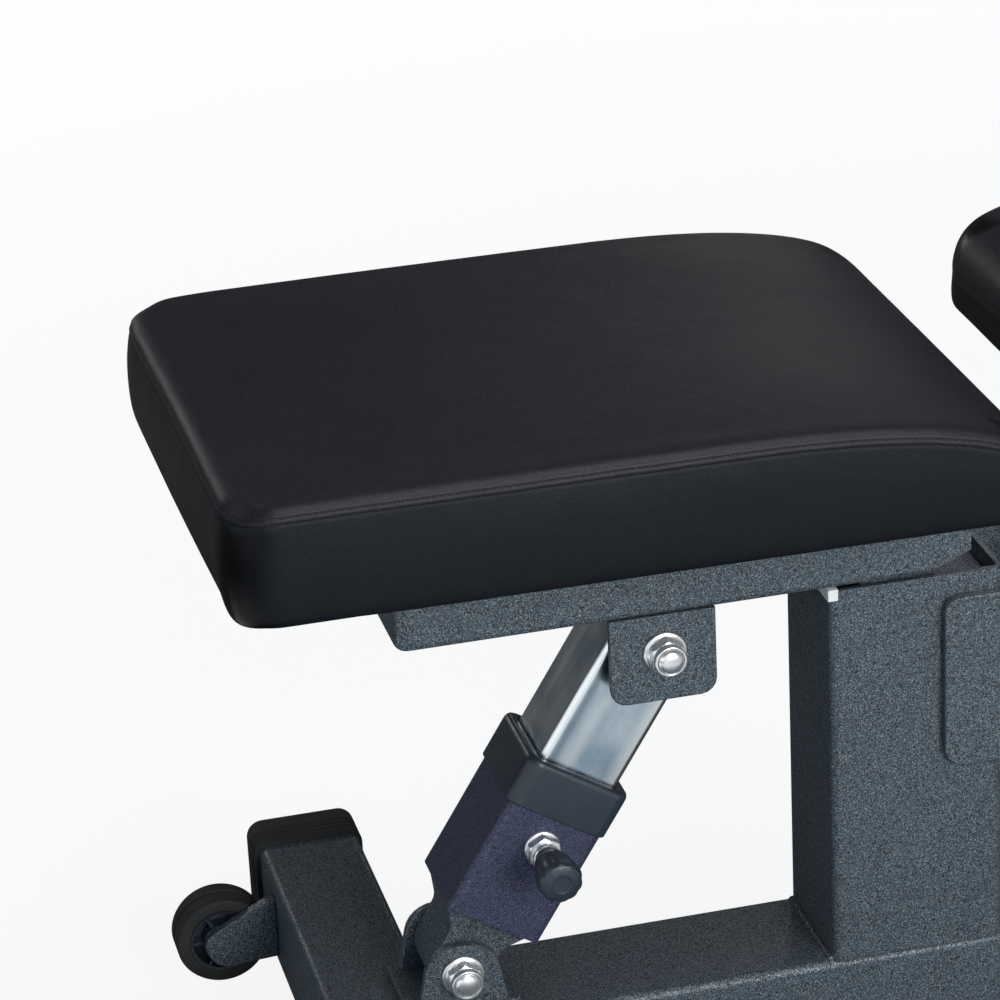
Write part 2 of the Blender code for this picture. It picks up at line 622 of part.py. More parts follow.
def strut():
    foot = (STRUT_FOOT[0], 0.0, STRUT_FOOT[1])
    outer = strut_section(OUTER_SIDE, 0.005)
    bore = inset(outer, WALL)
    low, high = OUTER_SPAN
    outer_tube = strut_loft("strut_outer_tube", ((outer, low), (outer, high), (bore, high), (bore, low)),
                            DARK_TUBE, foot, True)
    px, py, pz = on_strut(0.0, 0.0, STRUT_PIN_AT)
    combine(outer_tube, [rod("outer_pin_bore", "Y", (px, pz), STRUT_PLUNGER_RADIUS + HOLE_PLAY,
                             -0.04, 0.0)])

    rim = strut_section(COLLAR_SIDE, 0.009)
    soft = inset(rim, 0.0012)
    softer = inset(rim, 0.0036)
    skirt = strut_section(OUTER_SIDE + 2 * GAP, 0.0053)
    lip = strut_section(INNER_SIDE + 2 * GAP, 0.0043)
    low, high = COLLAR_SPAN
    levels = ((rim, low), (rim, high - 0.0040), (soft, high - 0.0012), (softer, high),
              (lip, high), (lip, OUTER_SPAN[1] + GAP), (skirt, OUTER_SPAN[1] + GAP), (skirt, low))
    strut_loft("strut_collar", levels, BLACK_PLASTIC, foot, True)

    eye = 0.017
    half = OUTER_SIDE / 2 - WALL - GAP
    lug = fillet([(half, 0.046, 0.002), (half, 0.032, 0.006), (eye, 0.020, 0.010),
                  (eye, -eye, 0.0168), (-eye, -eye, 0.0168), (-eye, 0.020, 0.010),
                  (-half, 0.032, 0.006), (-half, 0.046, 0.002)], 5)
    width = 0.0205
    slim = inset(lug, 0.0007)
    levels = ((slim, -width), (lug, -width + 0.0007), (lug, width - 0.0007), (slim, width))
    rings = [[on_strut(u, y, w) for u, w in ring] for ring, y in levels]
    foot_lug = loft("strut_foot_lug", rings, HAMMERTONE, foot)
    combine(foot_lug, [rod("lug_bore", "Y", STRUT_FOOT, BOLT_RADIUS + HOLE_PLAY, -0.03, 0.03)])

    inner = strut_section(INNER_SIDE, 0.004)
    hollow = inset(inner, INNER_WALL)
    reach = STRUT_LENGTH + 0.0095
    slope = 0.0145 / INNER_SIDE
    ends = [[on_strut(u, v, reach + slope * (INNER_SIDE / 2 - u)) for u, v in ring]
            for ring in (inner, hollow)]
    starts = [[on_strut(u, v, 0.050) for u, v in ring] for ring in (inner, hollow)]
    slider = loft("strut_inner_tube", [starts[0], ends[0], ends[1], starts[1]], ZINC, foot, True)
    sleeve = rod("inner_sleeve", "Y", STRUT_TOP, 0.0110, -0.0345, 0.0345)
    combine(slider, [sleeve], "UNION")
    bores = [rod("inner_bore", "Y", STRUT_TOP, 0.0080, -0.05, 0.05)]
    for i, distance in enumerate(STRUT_HOLES):
        hx, hy, hz = on_strut(0.0, 0.0, distance)
        bores.append(rod("inner_hole" + str(i), "Y", (hx, hz), STRUT_PLUNGER_RADIUS + HOLE_PLAY,
                         -0.04, 0.0, 16))
    combine(slider, bores)

    face = OUTER_SIDE / 2 + GAP
    turned("strut_pin_housing", "Y", (px, pz),
           ((STRUT_PLUNGER_RADIUS + HOLE_PLAY, -face), (0.0100, -face), (0.0100, -face - 0.003),
            (lambda c: hexagon(0.017, c), -face - 0.0032), (lambda c: hexagon(0.017, c), -face - 0.009),
            (0.0075, -face - 0.0092), (0.0075, -face - 0.014),
            (STRUT_PLUNGER_RADIUS + HOLE_PLAY, -face - 0.014)), ZINC, foot, hollow=True)
    grip = -face - 0.0145 - STRUT_PIN_TRAVEL
    turned("strut_pin_knob", "Y", (px, pz),
           ((STRUT_PLUNGER_RADIUS, STRUT_PIN_TIP), (STRUT_PLUNGER_RADIUS, grip),
            (0.0090, grip - 0.0001), (0.0105, grip - 0.0025), (0.0125, grip - 0.0155),
            (0.0125, grip - 0.0205), (0.0095, grip - 0.0245)), BLACK_PLASTIC, (px, 0.0, pz))

    clevis = plate("strut_clevis", rectangle(0.064, 0.060, 0.004, (STRUT_FOOT[0], 0.0)), "Z",
                   RAIL_TOP + GAP, RAIL_TOP + 0.0053, HAMMERTONE)
    fx, fz = STRUT_FOOT
    ear = fillet([(fx - 0.026, RAIL_TOP + 0.003, 0.0), (fx - 0.0180, fz + 0.018, 0.0178),
                  (fx + 0.0180, fz + 0.018, 0.0178), (fx + 0.026, RAIL_TOP + 0.003, 0.0)], 6)
    combine(clevis, [plate("clevis_ear_left", ear, "Y", -0.0273, -0.0213, None),
                     plate("clevis_ear_right", ear, "Y", 0.0213, 0.0273, None)], "UNION")
    combine(clevis, [rod("clevis_bore", "Y", STRUT_FOOT, BOLT_RADIUS + HOLE_PLAY, -0.04, 0.04)])
    face = 0.0273 + GAP
    flange_bolt("strut_foot_bolt", "Y", STRUT_FOOT, face, 1.0, BOLT_RADIUS, 2 * face + 0.0130,
                0.018, 0.0085, (0.0, 0.0, 0.0))
    flange_nut("strut_foot_nut", "Y", STRUT_FOOT, -face, -1.0, BOLT_RADIUS + GAP, 0.012,
               0.018, 0.0120, (0.0, 0.0, 0.0))


def backrest():
    pivot = (BACK_HINGE[0], 0.0, BACK_HINGE[1])
    upholstery("back", BACK_X0, BACK_X0 + BACK_LENGTH, BACK_X0, BACK_MOUNTS_X, pivot)
    beam = tube("back_beam", "X", beam_section(), WALL, *BACK_BEAM_X, HAMMERTONE, pivot)
    combine(beam, [rod("back_beam_barrel", "Y", BACK_HINGE, 0.0125, -0.0385, 0.0385)], "UNION")
    combine(beam, [rod("back_beam_bore", "Y", BACK_HINGE, HINGE_PIN_RADIUS + HOLE_PLAY, -0.05, 0.05)])

    centre = (0.0, BEAM_BOTTOM + BEAM_HEIGHT / 2)
    play = 2 * (WALL + GAP)
    plug = rectangle(BEAM_WIDTH - play, BEAM_HEIGHT - play, 0.0020, centre)
    nose = rectangle(BEAM_WIDTH - play - 0.0020, BEAM_HEIGHT - play - 0.0020, 0.0020, centre)
    section = beam_section()
    x = BACK_BEAM_X[1]
    levels = ((nose, x - 0.016), (plug, x - 0.012), (plug, x + GAP),
              (section, x + GAP), (section, x + 0.0035), (inset(section, 0.0020), x + 0.0055))
    rings = [[(w, u, v) for u, v in ring] for ring, w in levels]
    loft("back_beam_cap", rings, BLACK_PLASTIC, pivot)

    hx, hz = BACK_HINGE
    rim = SECTOR_RADIUS + 0.014
    top = BEAM_BOTTOM - GAP
    outline = [(hx - 0.022, top), (hx - 0.060, top - 0.030)]
    for k in range(17):
        a = math.radians(-127.0 + k * 91.0 / 16)
        outline.append((hx + rim * math.cos(a), hz + rim * math.sin(a)))
    outline.append((hx + 0.100, top))
    sector = plate("back_sector", outline, "Y", *SECTOR_Y, HAMMERTONE, pivot)
    bores = []
    for i in range(SECTOR_HOLES):
        bores.append(rod("sector_bore" + str(i), "Y", pin_point(SECTOR_PIN_ANGLE - i * SECTOR_STEP),
                         PLUNGER_RADIUS + HOLE_PLAY, -0.05, -0.02, 16))
    combine(sector, bores)

    face = BEAM_WIDTH / 2 + HEAD_PLATE + 2 * GAP
    fixed = (0.0, 0.0, 0.0)
    flange_bolt("back_hinge_bolt", "Y", BACK_HINGE, face, 1.0, HINGE_PIN_RADIUS,
                2 * face + 0.0150, 0.024, 0.0105, fixed)
    flange_nut("back_hinge_nut", "Y", BACK_HINGE, -face, -1.0, HINGE_PIN_RADIUS + GAP, 0.0155,
               0.024, 0.0150, fixed)
    px, pz = pin_point(SECTOR_PIN_ANGLE)
    turned("back_pin_housing", "Y", (px, pz),
           ((PLUNGER_RADIUS + HOLE_PLAY, -face), (0.0125, -face), (0.0125, -face - 0.004),
            (lambda c: hexagon(0.021, c), -face - 0.0042), (lambda c: hexagon(0.021, c), -face - 0.012),
            (0.0090, -face - 0.0122), (0.0090, -face - 0.018),
            (PLUNGER_RADIUS + HOLE_PLAY, -face - 0.018)), ZINC, fixed, hollow=True)
    grip = -face - 0.0185 - BACK_PIN_TRAVEL
    turned("back_pin_knob", "Y", (px, pz),
           ((PLUNGER_RADIUS - 0.0006, BACK_PIN_TIP), (PLUNGER_RADIUS, BACK_PIN_TIP - 0.0013),
            (PLUNGER_RADIUS, grip), (0.0110, grip - 0.0001), (0.0130, grip - 0.0035),
            (0.0160, grip - 0.0215), (0.0160, grip - 0.0275), (0.0120, grip - 0.0325)),
           BLACK_PLASTIC, (px, 0.0, pz))


def main():
    for obj in list(bpy.data.objects):
        bpy.data.objects.remove(obj, do_unlink=True)
    floor_frame()
    lifting_handle()
    post()
    head_plates()
    seat()
    strut()
    backrest()


main()
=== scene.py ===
# %% [markdown]
# # An adjustable utility bench
# A strength training bench: two upholstered pads on square steel beams, a post, and a strut of
# two telescoping tubes that props up the seat. The solids come from the CAD model, which fixes
# every size and joint. This file gives them their looks: padded covers with their seams, coated
# and plated steel, moulded plastic, and the camera and light of a product picture.

import contextlib
import json
import math

import bmesh
import bpy
import numpy as np
from mathutils import Matrix, Vector, kdtree, noise

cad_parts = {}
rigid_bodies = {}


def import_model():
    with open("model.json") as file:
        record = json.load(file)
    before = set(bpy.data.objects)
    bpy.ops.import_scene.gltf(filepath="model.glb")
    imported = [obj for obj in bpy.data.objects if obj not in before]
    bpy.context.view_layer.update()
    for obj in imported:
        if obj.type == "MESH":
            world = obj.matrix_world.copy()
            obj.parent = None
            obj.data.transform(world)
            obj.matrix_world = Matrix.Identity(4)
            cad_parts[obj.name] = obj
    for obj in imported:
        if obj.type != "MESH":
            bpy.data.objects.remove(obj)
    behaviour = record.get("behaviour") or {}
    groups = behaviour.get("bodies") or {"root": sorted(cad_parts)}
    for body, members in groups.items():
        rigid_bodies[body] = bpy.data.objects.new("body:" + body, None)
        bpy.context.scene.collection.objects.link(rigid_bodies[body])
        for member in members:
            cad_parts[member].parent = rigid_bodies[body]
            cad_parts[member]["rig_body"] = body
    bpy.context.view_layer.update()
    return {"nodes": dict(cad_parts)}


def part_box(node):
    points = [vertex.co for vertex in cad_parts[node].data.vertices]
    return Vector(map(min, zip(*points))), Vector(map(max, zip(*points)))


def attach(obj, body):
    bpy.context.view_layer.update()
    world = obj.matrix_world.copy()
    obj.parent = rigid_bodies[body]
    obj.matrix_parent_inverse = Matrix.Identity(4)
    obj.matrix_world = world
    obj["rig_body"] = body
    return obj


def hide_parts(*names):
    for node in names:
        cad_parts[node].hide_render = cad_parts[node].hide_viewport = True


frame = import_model()
NODES = frame["nodes"]
SCENE = bpy.context.scene
MM = 0.001

# %% [markdown]
# ## Camera
# The picture was taken from the front left, a little above the pads, with a long lens. A camera
# is placed by its position and three angles. The small roll is in the picture too: the pad's
# far edge climbs to the right by more than perspective alone would make it.

# %% Place the camera
CAMERA_AT = Vector((-0.92146, -1.93741, 1.25346))
CAMERA_YAW = math.radians(12.937)
CAMERA_PITCH = math.radians(24.094)
CAMERA_ROLL = math.radians(-2.878)
CAMERA_LENS = 146.93


def linked(name, data):
    """An object of the data, linked into the scene."""
    obj = bpy.data.objects.new(name, data)
    SCENE.collection.objects.link(obj)
    return obj


def camera_axes(yaw, pitch, roll):
    """Right, up and backward directions of a camera, as the columns of its rotation."""
    forward = Vector((math.sin(yaw) * math.cos(pitch), math.cos(yaw) * math.cos(pitch),
                      -math.sin(pitch)))
    level = Vector((math.cos(yaw), -math.sin(yaw), 0.0))
    upright = level.cross(forward)
    right = math.cos(roll) * level + math.sin(roll) * upright
    up = math.cos(roll) * upright - math.sin(roll) * level
    return Matrix((right, up, -forward)).transposed()


camera = linked("camera", bpy.data.cameras.new("camera"))
camera.data.lens = CAMERA_LENS
camera.data.sensor_width = 36.0
camera.matrix_world = (Matrix.Translation(CAMERA_AT)
                       @ camera_axes(CAMERA_YAW, CAMERA_PITCH, CAMERA_ROLL).to_4x4())
SCENE.camera = camera
SCENE.view_settings.view_transform = "Standard"
print("camera lens:", camera.data.lens, "mm")


# %% [markdown]
# ## Shader groups
# Three effects come back in several finishes, so each is a node group: the pebbles of a leather
# grain, the specks of a hammered coat, and slow clouds that keep a surface from looking even.
# A group only puts out values. The shader itself stays in each material.
#
# Every node here is made by one helper. It takes the node's kind, what goes into its inputs, which
# is either a value or another node's output, and the number or name of the output to give back.

# %% Tools for building node trees
def feed(tree, node, inputs):
    """Gives each input its value, or a link from the output that feeds it."""
    for key, value in inputs.items():
        if isinstance(value, bpy.types.NodeSocket):
            tree.links.new(value, node.inputs[key])
        else:
            node.inputs[key].default_value = value


def wired(tree, kind, inputs=None, give=0, **settings):
    """Adds a node and feeds it. Gives back one of its outputs, or the node where give is None."""
    node = tree.nodes.new(kind)
    for key, value in settings.items():
        setattr(node, key, value)
    feed(tree, node, inputs or {})
    return node if give is None else node.outputs[give]


def joined(tree, operation, *values):
    """A Math operation over two or more numbers or outputs."""
    result = values[0]
    for value in values[1:]:
        result = wired(tree, "ShaderNodeMath", {0: result, 1: value}, operation=operation)
    return result


def ranged(tree, value, low, high, start=0.0, end=1.0, curve="LINEAR"):
    """Runs from low to high while the value runs from start to end."""
    return wired(tree, "ShaderNodeMapRange", {"Value": value, "From Min": start, "From Max": end,
                                              "To Min": low, "To Max": high},
                 interpolation_type=curve)


def ramp(tree, value, *stops):
    """A colour ramp from stops of a position and a grey or a colour."""
    node = wired(tree, "ShaderNodeValToRGB", {"Fac": value}, None)
    elements = node.color_ramp.elements
    while len(elements) < len(stops):
        elements.new(0.5)
    for element, (position, colour) in zip(elements, stops):
        element.position = position
        element.color = (*((colour,) * 3 if isinstance(colour, float) else colour), 1.0)
    return node.outputs["Color"]


def noisy(tree, vector, give="Fac", **inputs):
    return wired(tree, "ShaderNodeTexNoise", {"Vector": vector, **inputs}, give)


# %% An empty group
def new_group(name, inputs, outputs):
    """An empty shader group, with the outputs of its start node and its end node."""
    group = bpy.data.node_groups.new(name, "ShaderNodeTree")
    group.interface.new_socket("Vector", in_out="INPUT", socket_type="NodeSocketVector")
    for word, value in inputs.items():
        socket = group.interface.new_socket(word, in_out="INPUT", socket_type="NodeSocketFloat")
        socket.default_value = value
    for word in outputs:
        group.interface.new_socket(word, in_out="OUTPUT", socket_type="NodeSocketFloat")
    return group, group.nodes.new("NodeGroupInput").outputs, group.nodes.new("NodeGroupOutput")


# %% Leather grain group
GRAIN, given, end = new_group("leather_grain", {"Scale": 900.0, "Depth": 1.0},
                              ["Height", "Crease Shade"])
warp = noisy(GRAIN, given["Vector"], "Color", Scale=220.0, Detail=2.0)
shifted = wired(GRAIN, "ShaderNodeVectorMath",
                {0: warp, 1: (0.0012, 0.0012, 0.0012), 2: given["Vector"]},
                operation="MULTIPLY_ADD")
cells = wired(GRAIN, "ShaderNodeTexVoronoi", {"Vector": shifted, "Scale": given["Scale"]},
              "Distance", feature="DISTANCE_TO_EDGE")
pebble = ramp(GRAIN, cells, (0.0, 0.0), (0.16, 0.8), (0.5, 1.0))
# The second output darkens the creases between pebbles: painted shade.
feed(GRAIN, end, {"Height": joined(GRAIN, "MULTIPLY", pebble, given["Depth"]),
                  "Crease Shade": joined(GRAIN, "SUBTRACT", 1.0, pebble)})
print("group:", GRAIN.name)

# %% Hammered speckle group
SPECKLE, given, end = new_group("hammered_speckle", {"Scale": 900.0, "Strength": 1.0},
                                ["Light", "Dark", "Height"])
turned = wired(SPECKLE, "ShaderNodeVectorRotate",
               {"Vector": given["Vector"], "Rotation": (0.5, 0.7, 0.3)},
               rotation_type="EULER_XYZ")
fine = noisy(SPECKLE, turned, Scale=given["Scale"], Detail=2.0, Roughness=0.65)
coarse = noisy(SPECKLE, turned, Scale=joined(SPECKLE, "MULTIPLY", given["Scale"], 0.55),
               Detail=1.0, Distortion=0.6)
light = ramp(SPECKLE, fine, (0.50, 0.0), (0.68, 1.0))
dark = ramp(SPECKLE, coarse, (0.34, 1.0), (0.50, 0.0))
feed(SPECKLE, end, {"Light": joined(SPECKLE, "MULTIPLY", light, given["Strength"]),
                    "Dark": joined(SPECKLE, "MULTIPLY", dark, given["Strength"]),
                    "Height": joined(SPECKLE, "SUBTRACT", coarse, dark)})
print("group:", SPECKLE.name)

# %% Slow clouds group
CLOUDS, given, end = new_group("slow_clouds", {"Scale": 12.0, "Low": 0.0, "High": 1.0},
                               ["Value"])
cloud = noisy(CLOUDS, given["Vector"], Scale=given["Scale"], Detail=4.0, Roughness=0.55)
feed(CLOUDS, end, {"Value": ranged(CLOUDS, cloud, given["Low"], given["High"], 0.35, 0.65)})
print("group:", CLOUDS.name)


# %% Material helpers
def new_material(name):
    """A material, its tree, its Principled shader and its object coordinates."""
    material = bpy.data.materials.new(name)
    material.use_nodes = True
    tree = material.node_tree
    vector = wired(tree, "ShaderNodeTexCoord", give="Object")
    return material, tree, tree.nodes["Principled BSDF"], vector


def placed(tree, group, vector, **values):
    """The outputs of a group that reads the vector."""
    return wired(tree, "ShaderNodeGroup", {"Vector": vector, **values}, None,
                 node_tree=group).outputs


def clouds(tree, vector, scale):
    return placed(tree, CLOUDS, vector, Scale=scale)["Value"]


def mixed_colour(tree, factor, first, second):
    """A colour between two. Each of the three is a value or an output."""
    first, second = [colour if isinstance(colour, bpy.types.NodeSocket) else (*colour, 1.0)
                     for colour in (first, second)]
    return wired(tree, "ShaderNodeMix", {0: factor, 6: first, 7: second}, 2, data_type="RGBA")


def bumped(tree, height, distance, strength, **under):
    """A bump's normal. It can lie over another one, given as Normal."""
    return wired(tree, "ShaderNodeBump", {"Height": height, "Distance": distance,
                                          "Strength": strength, **under})


# %% [markdown]
# ## Vinyl
# The covers are black vinyl with a fine pebble grain, its creases painted darker as painted shade.
# It is nearly matte: its specular level is kept low, or a pale room would wash the black out.
# The panels round the sides get a darker, bluer base than the top, which is painted shade, so the
# same recipe makes both with its own tint. Round the upright corners the side band is painted
# darker still, as painted shade, and made smoother: an attribute named corner says where.

# %% Vinyl and thread materials
CORNER_SHADE = 0.85
CORNER_ROUGHNESS = 0.30


def vinyl_material(name, base, crease_shade, specular):
    material, tree, shader, vector = new_material(name)
    grain = placed(tree, GRAIN, vector, Scale=720.0, Depth=1.0)
    cloud = clouds(tree, vector, 9.0)
    corner = wired(tree, "ShaderNodeAttribute", give="Fac", attribute_name="corner")
    # Painted shade: round the upright corners the colour is mixed towards near black.
    shade = joined(tree, "MULTIPLY", corner, CORNER_SHADE)
    colour = mixed_colour(tree, cloud, base, [c * 1.18 for c in base])
    # The grain's creases are painted darker: painted shade.
    colour = mixed_colour(tree, grain["Crease Shade"], colour, crease_shade)
    gloss = ranged(tree, cloud, 0.44, 0.50)
    relief = joined(tree, "MULTIPLY", grain["Height"], joined(tree, "SUBTRACT", 1.0, shade))
    wavy = bumped(tree, clouds(tree, vector, 26.0), 0.0006, 0.35)
    feed(tree, shader, {
        "Base Color": mixed_colour(tree, shade, colour, (0.0, 0.0002, 0.0006)),
        "Roughness": wired(tree, "ShaderNodeMix", {0: corner, 2: gloss, 3: CORNER_ROUGHNESS}),
        "Specular IOR Level": specular,
        "Normal": bumped(tree, relief, 0.00012, 0.55, Normal=wavy)})
    return material


def thread_material():
    material, tree, shader, vector = new_material("black_thread")
    twist = noisy(tree, vector, Scale=2600.0, Detail=2.0)
    feed(tree, shader, {
        "Base Color": mixed_colour(tree, twist, (0.004, 0.004, 0.005), (0.016, 0.016, 0.018)),
        "Roughness": 0.6, "Specular IOR Level": 0.3,
        "Normal": bumped(tree, twist, 0.0001, 0.6)})
    return material


VINYL_TOP = vinyl_material("vinyl_top", (0.0135, 0.0128, 0.0195), (0.0068, 0.0064, 0.0098),
                           0.27)
# The side panels' darker, bluer base than the top is painted shade.
VINYL_SIDE_SHADED = vinyl_material("vinyl_side_shaded", (0.0062, 0.0088, 0.0128), (0.0028, 0.0040, 0.0062),
                            0.16)
THREAD = thread_material()
print("upholstery materials:", VINYL_TOP.name, VINYL_SIDE_SHADED.name, THREAD.name)


# %% [markdown]
# ## Coated steel
# Hammertone powder coat is a grey paint that dries in tiny light and dark specks, less than a
# millimetre across, over a lumpy skin. The outer strut tube has the same coat in near black.

# %% Speckled coat materials
def coat_material(name, base, light, dark, roughness, metallic, strength):
    material, tree, shader, vector = new_material(name)
    specks = placed(tree, SPECKLE, vector, Scale=1350.0, Strength=strength)
    colour = mixed_colour(tree, clouds(tree, vector, 14.0), base, [c * 1.12 for c in base])
    colour = mixed_colour(tree, specks["Dark"], colour, dark)
    feed(tree, shader, {
        "Base Color": mixed_colour(tree, specks["Light"], colour, light),
        "Roughness": ranged(tree, specks["Dark"], roughness, roughness + 0.16),
        "Metallic": metallic, "Specular IOR Level": 0.4,
        "Normal": bumped(tree, specks["Height"], 0.00018, 0.5)})
    return material


HAMMERTONE = coat_material("hammertone", (0.045, 0.062, 0.079), (0.295, 0.335, 0.362),
                           (0.004, 0.008, 0.013), 0.42, 0.25, 1.0)
DARK_COAT = coat_material("dark_speckle", (0.036, 0.040, 0.085), (0.150, 0.160, 0.235),
                          (0.007, 0.008, 0.017), 0.45, 0.15, 0.8)
print("coats:", HAMMERTONE.name, DARK_COAT.name)


# %% [markdown]
# ## Plated steel
# Zinc plate is bright and slightly blue, with faint streaks that run the way the tube was drawn.
# Streaks are noise stretched along one direction, so the pattern is first turned to the strut's
# own angle by a Mapping node. Its Texture type turns before it scales; the Point type would scale
# first and leave the streaks crooked. Across the tube's face the colour also gets painted bands:
# painted shade next to its corner, and painted highlights further in and at the other corner.

# %% Where the strut is
def centre_of(node):
    """The middle of a node's box, seen along Y."""
    low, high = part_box(node)
    return (low[0] + high[0]) / 2, (low[2] + high[2]) / 2


STRUT_ANGLE = math.radians(57.57)
STRUT_FOOT = centre_of("strut_foot_bolt")
ALONG = Vector((math.cos(STRUT_ANGLE), 0.0, math.sin(STRUT_ANGLE)))
ACROSS = Vector((math.sin(STRUT_ANGLE), 0.0, -math.cos(STRUT_ANGLE)))
FOOT = Vector((STRUT_FOOT[0], 0.0, STRUT_FOOT[1]))

# %% Zinc materials
TUBE_SIDE = 0.050
# Bands of painted shade and painted highlight across the tube's face.
PAINTED_SHADE_BANDS = ((0.078, 0.0), (0.108, 0.74), (0.148, 0.74), (0.23, 0.0))
PAINTED_HIGHLIGHT_BANDS = ((0.0, 0.0), (0.012, 0.85), (0.062, 0.85), (0.084, 0.0), (0.23, 0.0), (0.32, 0.45),
              (0.43, 0.0), (0.76, 0.0), (0.93, 0.95), (1.0, 0.50))


def painted_light_bands(tree, vector, colour):
    """Adds bands of painted shade and painted highlight along the tube to a colour, by the
    place across its face from 0 to 1.
    """
    across = wired(tree, "ShaderNodeVectorMath", {0: vector, 1: ACROSS}, "Value",
                   operation="DOT_PRODUCT")
    middle = FOOT.dot(ACROSS)
    place = ranged(tree, across, 0.0, 1.0, middle - TUBE_SIDE / 2, middle + TUBE_SIDE / 2)
    for stops, tint in ((PAINTED_SHADE_BANDS, (0.17, 0.23, 0.28)), (PAINTED_HIGHLIGHT_BANDS, (0.93, 0.97, 0.97))):
        colour = mixed_colour(tree, ramp(tree, place, *stops), colour, tint)
    return colour


def zinc_material(name, turn, stretch, base, light, low, high, metallic=1.0, bands=False):
    material, tree, shader, vector = new_material(name)
    drawn = wired(tree, "ShaderNodeMapping", {"Vector": vector, "Rotation": (0.0, -turn, 0.0),
                                              "Scale": stretch}, vector_type="TEXTURE")
    streaks = clouds(tree, drawn, 60.0)
    colour = mixed_colour(tree, clouds(tree, vector, 34.0), base, light)
    feed(tree, shader, {
        "Base Color": painted_light_bands(tree, vector, colour) if bands else colour,
        "Roughness": ranged(tree, streaks, low, high), "Metallic": metallic,
        "Normal": bumped(tree, streaks, 0.00002, 0.06)})
    return material


ZINC_TUBE = zinc_material("zinc_tube", STRUT_ANGLE, (18.0, 0.40, 0.40),
                          (0.36, 0.48, 0.57), (0.63, 0.72, 0.79), 0.26, 0.36, bands=True)
ZINC_PART = zinc_material("zinc_part", 0.0, (0.33, 0.33, 0.33),
                          (0.82, 0.85, 0.88), (0.90, 0.92, 0.93), 0.26, 0.32, metallic=0.88)
print("plating:", ZINC_TUBE.name, ZINC_PART.name)


# %% [markdown]
# ## Plastic, rubber, nylon and plywood
# The collar and knobs are moulded plastic with a satin skin, the feet and tyres are rubber with
# dust in their pores, the two rest pads are white nylon, and the boards are plywood whose grain
# runs along the bench.

# %% Moulded and wooden materials
def moulded_material(name, base, high, roughness, pores, specular=0.5):
    material, tree, shader, vector = new_material(name)
    cloud = clouds(tree, vector, 30.0)
    feed(tree, shader, {
        "Base Color": mixed_colour(tree, cloud, base, high),
        "Roughness": ranged(tree, cloud, roughness, roughness + 0.10),
        "Specular IOR Level": specular,
        "Normal": bumped(tree, noisy(tree, vector, Scale=pores, Detail=2.0), 0.00006, 0.5)})
    return material


def plywood_material():
    material, tree, shader, vector = new_material("plywood")
    grown = wired(tree, "ShaderNodeMapping", {"Vector": vector, "Scale": (1.2, 16.0, 16.0)})
    grain = noisy(tree, grown, Scale=9.0, Detail=6.0, Distortion=1.4)
    figure = ramp(tree, grain, (0.32, (0.30, 0.18, 0.09)), (0.50, (0.50, 0.34, 0.19)),
                  (0.68, (0.60, 0.44, 0.27)))
    feed(tree, shader, {"Base Color": figure, "Roughness": 0.72,
                        "Normal": bumped(tree, grain, 0.0004, 0.4)})
    return material


PLASTIC = moulded_material("black_plastic", (0.017, 0.028, 0.042), (0.025, 0.037, 0.053),
                           0.34, 1500.0)
RUBBER = moulded_material("black_rubber", (0.016, 0.016, 0.017), (0.030, 0.029, 0.028),
                          0.70, 900.0, 0.3)
NYLON = moulded_material("white_nylon", (0.80, 0.80, 0.78), (0.88, 0.88, 0.86), 0.35, 700.0)
PLYWOOD = plywood_material()
print("others:", PLASTIC.name, RUBBER.name, NYLON.name, PLYWOOD.name)

# %% [markdown]
# ## Making pieces
# A CAD node is a mesh of loose triangles with crisp edges. Real steel has edges that catch the
# light, so most nodes are shown by a copy: its points are merged, its flat faces joined, and a
# very small bevel rounds the edges. Round parts get new meshes with many more sides: their
# points lie in rings, and one helper spans the skin over any row of rings.

# %% Meshes and objects
SMOOTH_ANGLE = math.radians(35)


@contextlib.contextmanager
def opened(mesh):
    """The mesh as a bmesh. It is written back at the end."""
    shape = bmesh.new()
    shape.from_mesh(mesh)
    yield shape
    shape.to_mesh(mesh)
    shape.free()


def mesh_from(name, vertices, faces, edges=()):
    mesh = bpy.data.meshes.new(name)
    mesh.from_pydata([tuple(v) for v in vertices], list(edges), faces)
    return mesh


def shaded(mesh):
    """Smooth shading with crisp edges where the surface turns sharply."""
    mesh.shade_smooth()
    mesh.set_sharp_from_angle(angle=SMOOTH_ANGLE)


def object_from(name, vertices, faces):
    """An object at the origin with merged points and outward faces."""
    mesh = mesh_from(name, vertices, faces)
    with opened(mesh) as shape:
        bmesh.ops.remove_doubles(shape, verts=shape.verts, dist=1e-6)
        bmesh.ops.recalc_face_normals(shape, faces=shape.faces)
    shaded(mesh)
    return linked(name, mesh)


# %% Skins over rings of points
def between(a, b, count):
    """The faces between two rings of points, by the index where each ring starts."""
    return [(a + i, a + (i + 1) % count, b + (i + 1) % count, b + i) for i in range(count)]


def lofted(name, rings, ends="fans"):
    """A closed skin over rings of equally many points. The end rings are closed by fans or by
    one flat face each, or else joined to each other."""
    count, last = len(rings[0]), len(rings) - 1
    points = [p for ring in rings for p in ring]
    faces = [face for k in range(last) for face in between(k * count, (k + 1) * count, count)]
    if ends == "joined":
        faces += between(last * count, 0, count)
    elif ends == "flat":
        faces += [tuple(range(count)), tuple(range(last * count, (last + 1) * count))]
    else:
        for k in (0, last):
            faces += [(len(points), k * count + i, k * count + (i + 1) % count)
                      for i in range(count)]
            points.append(np.mean(rings[k], axis=0))
    return object_from(name, points, faces)


def turns(count):
    return [2 * math.pi * i / count for i in range(count)]


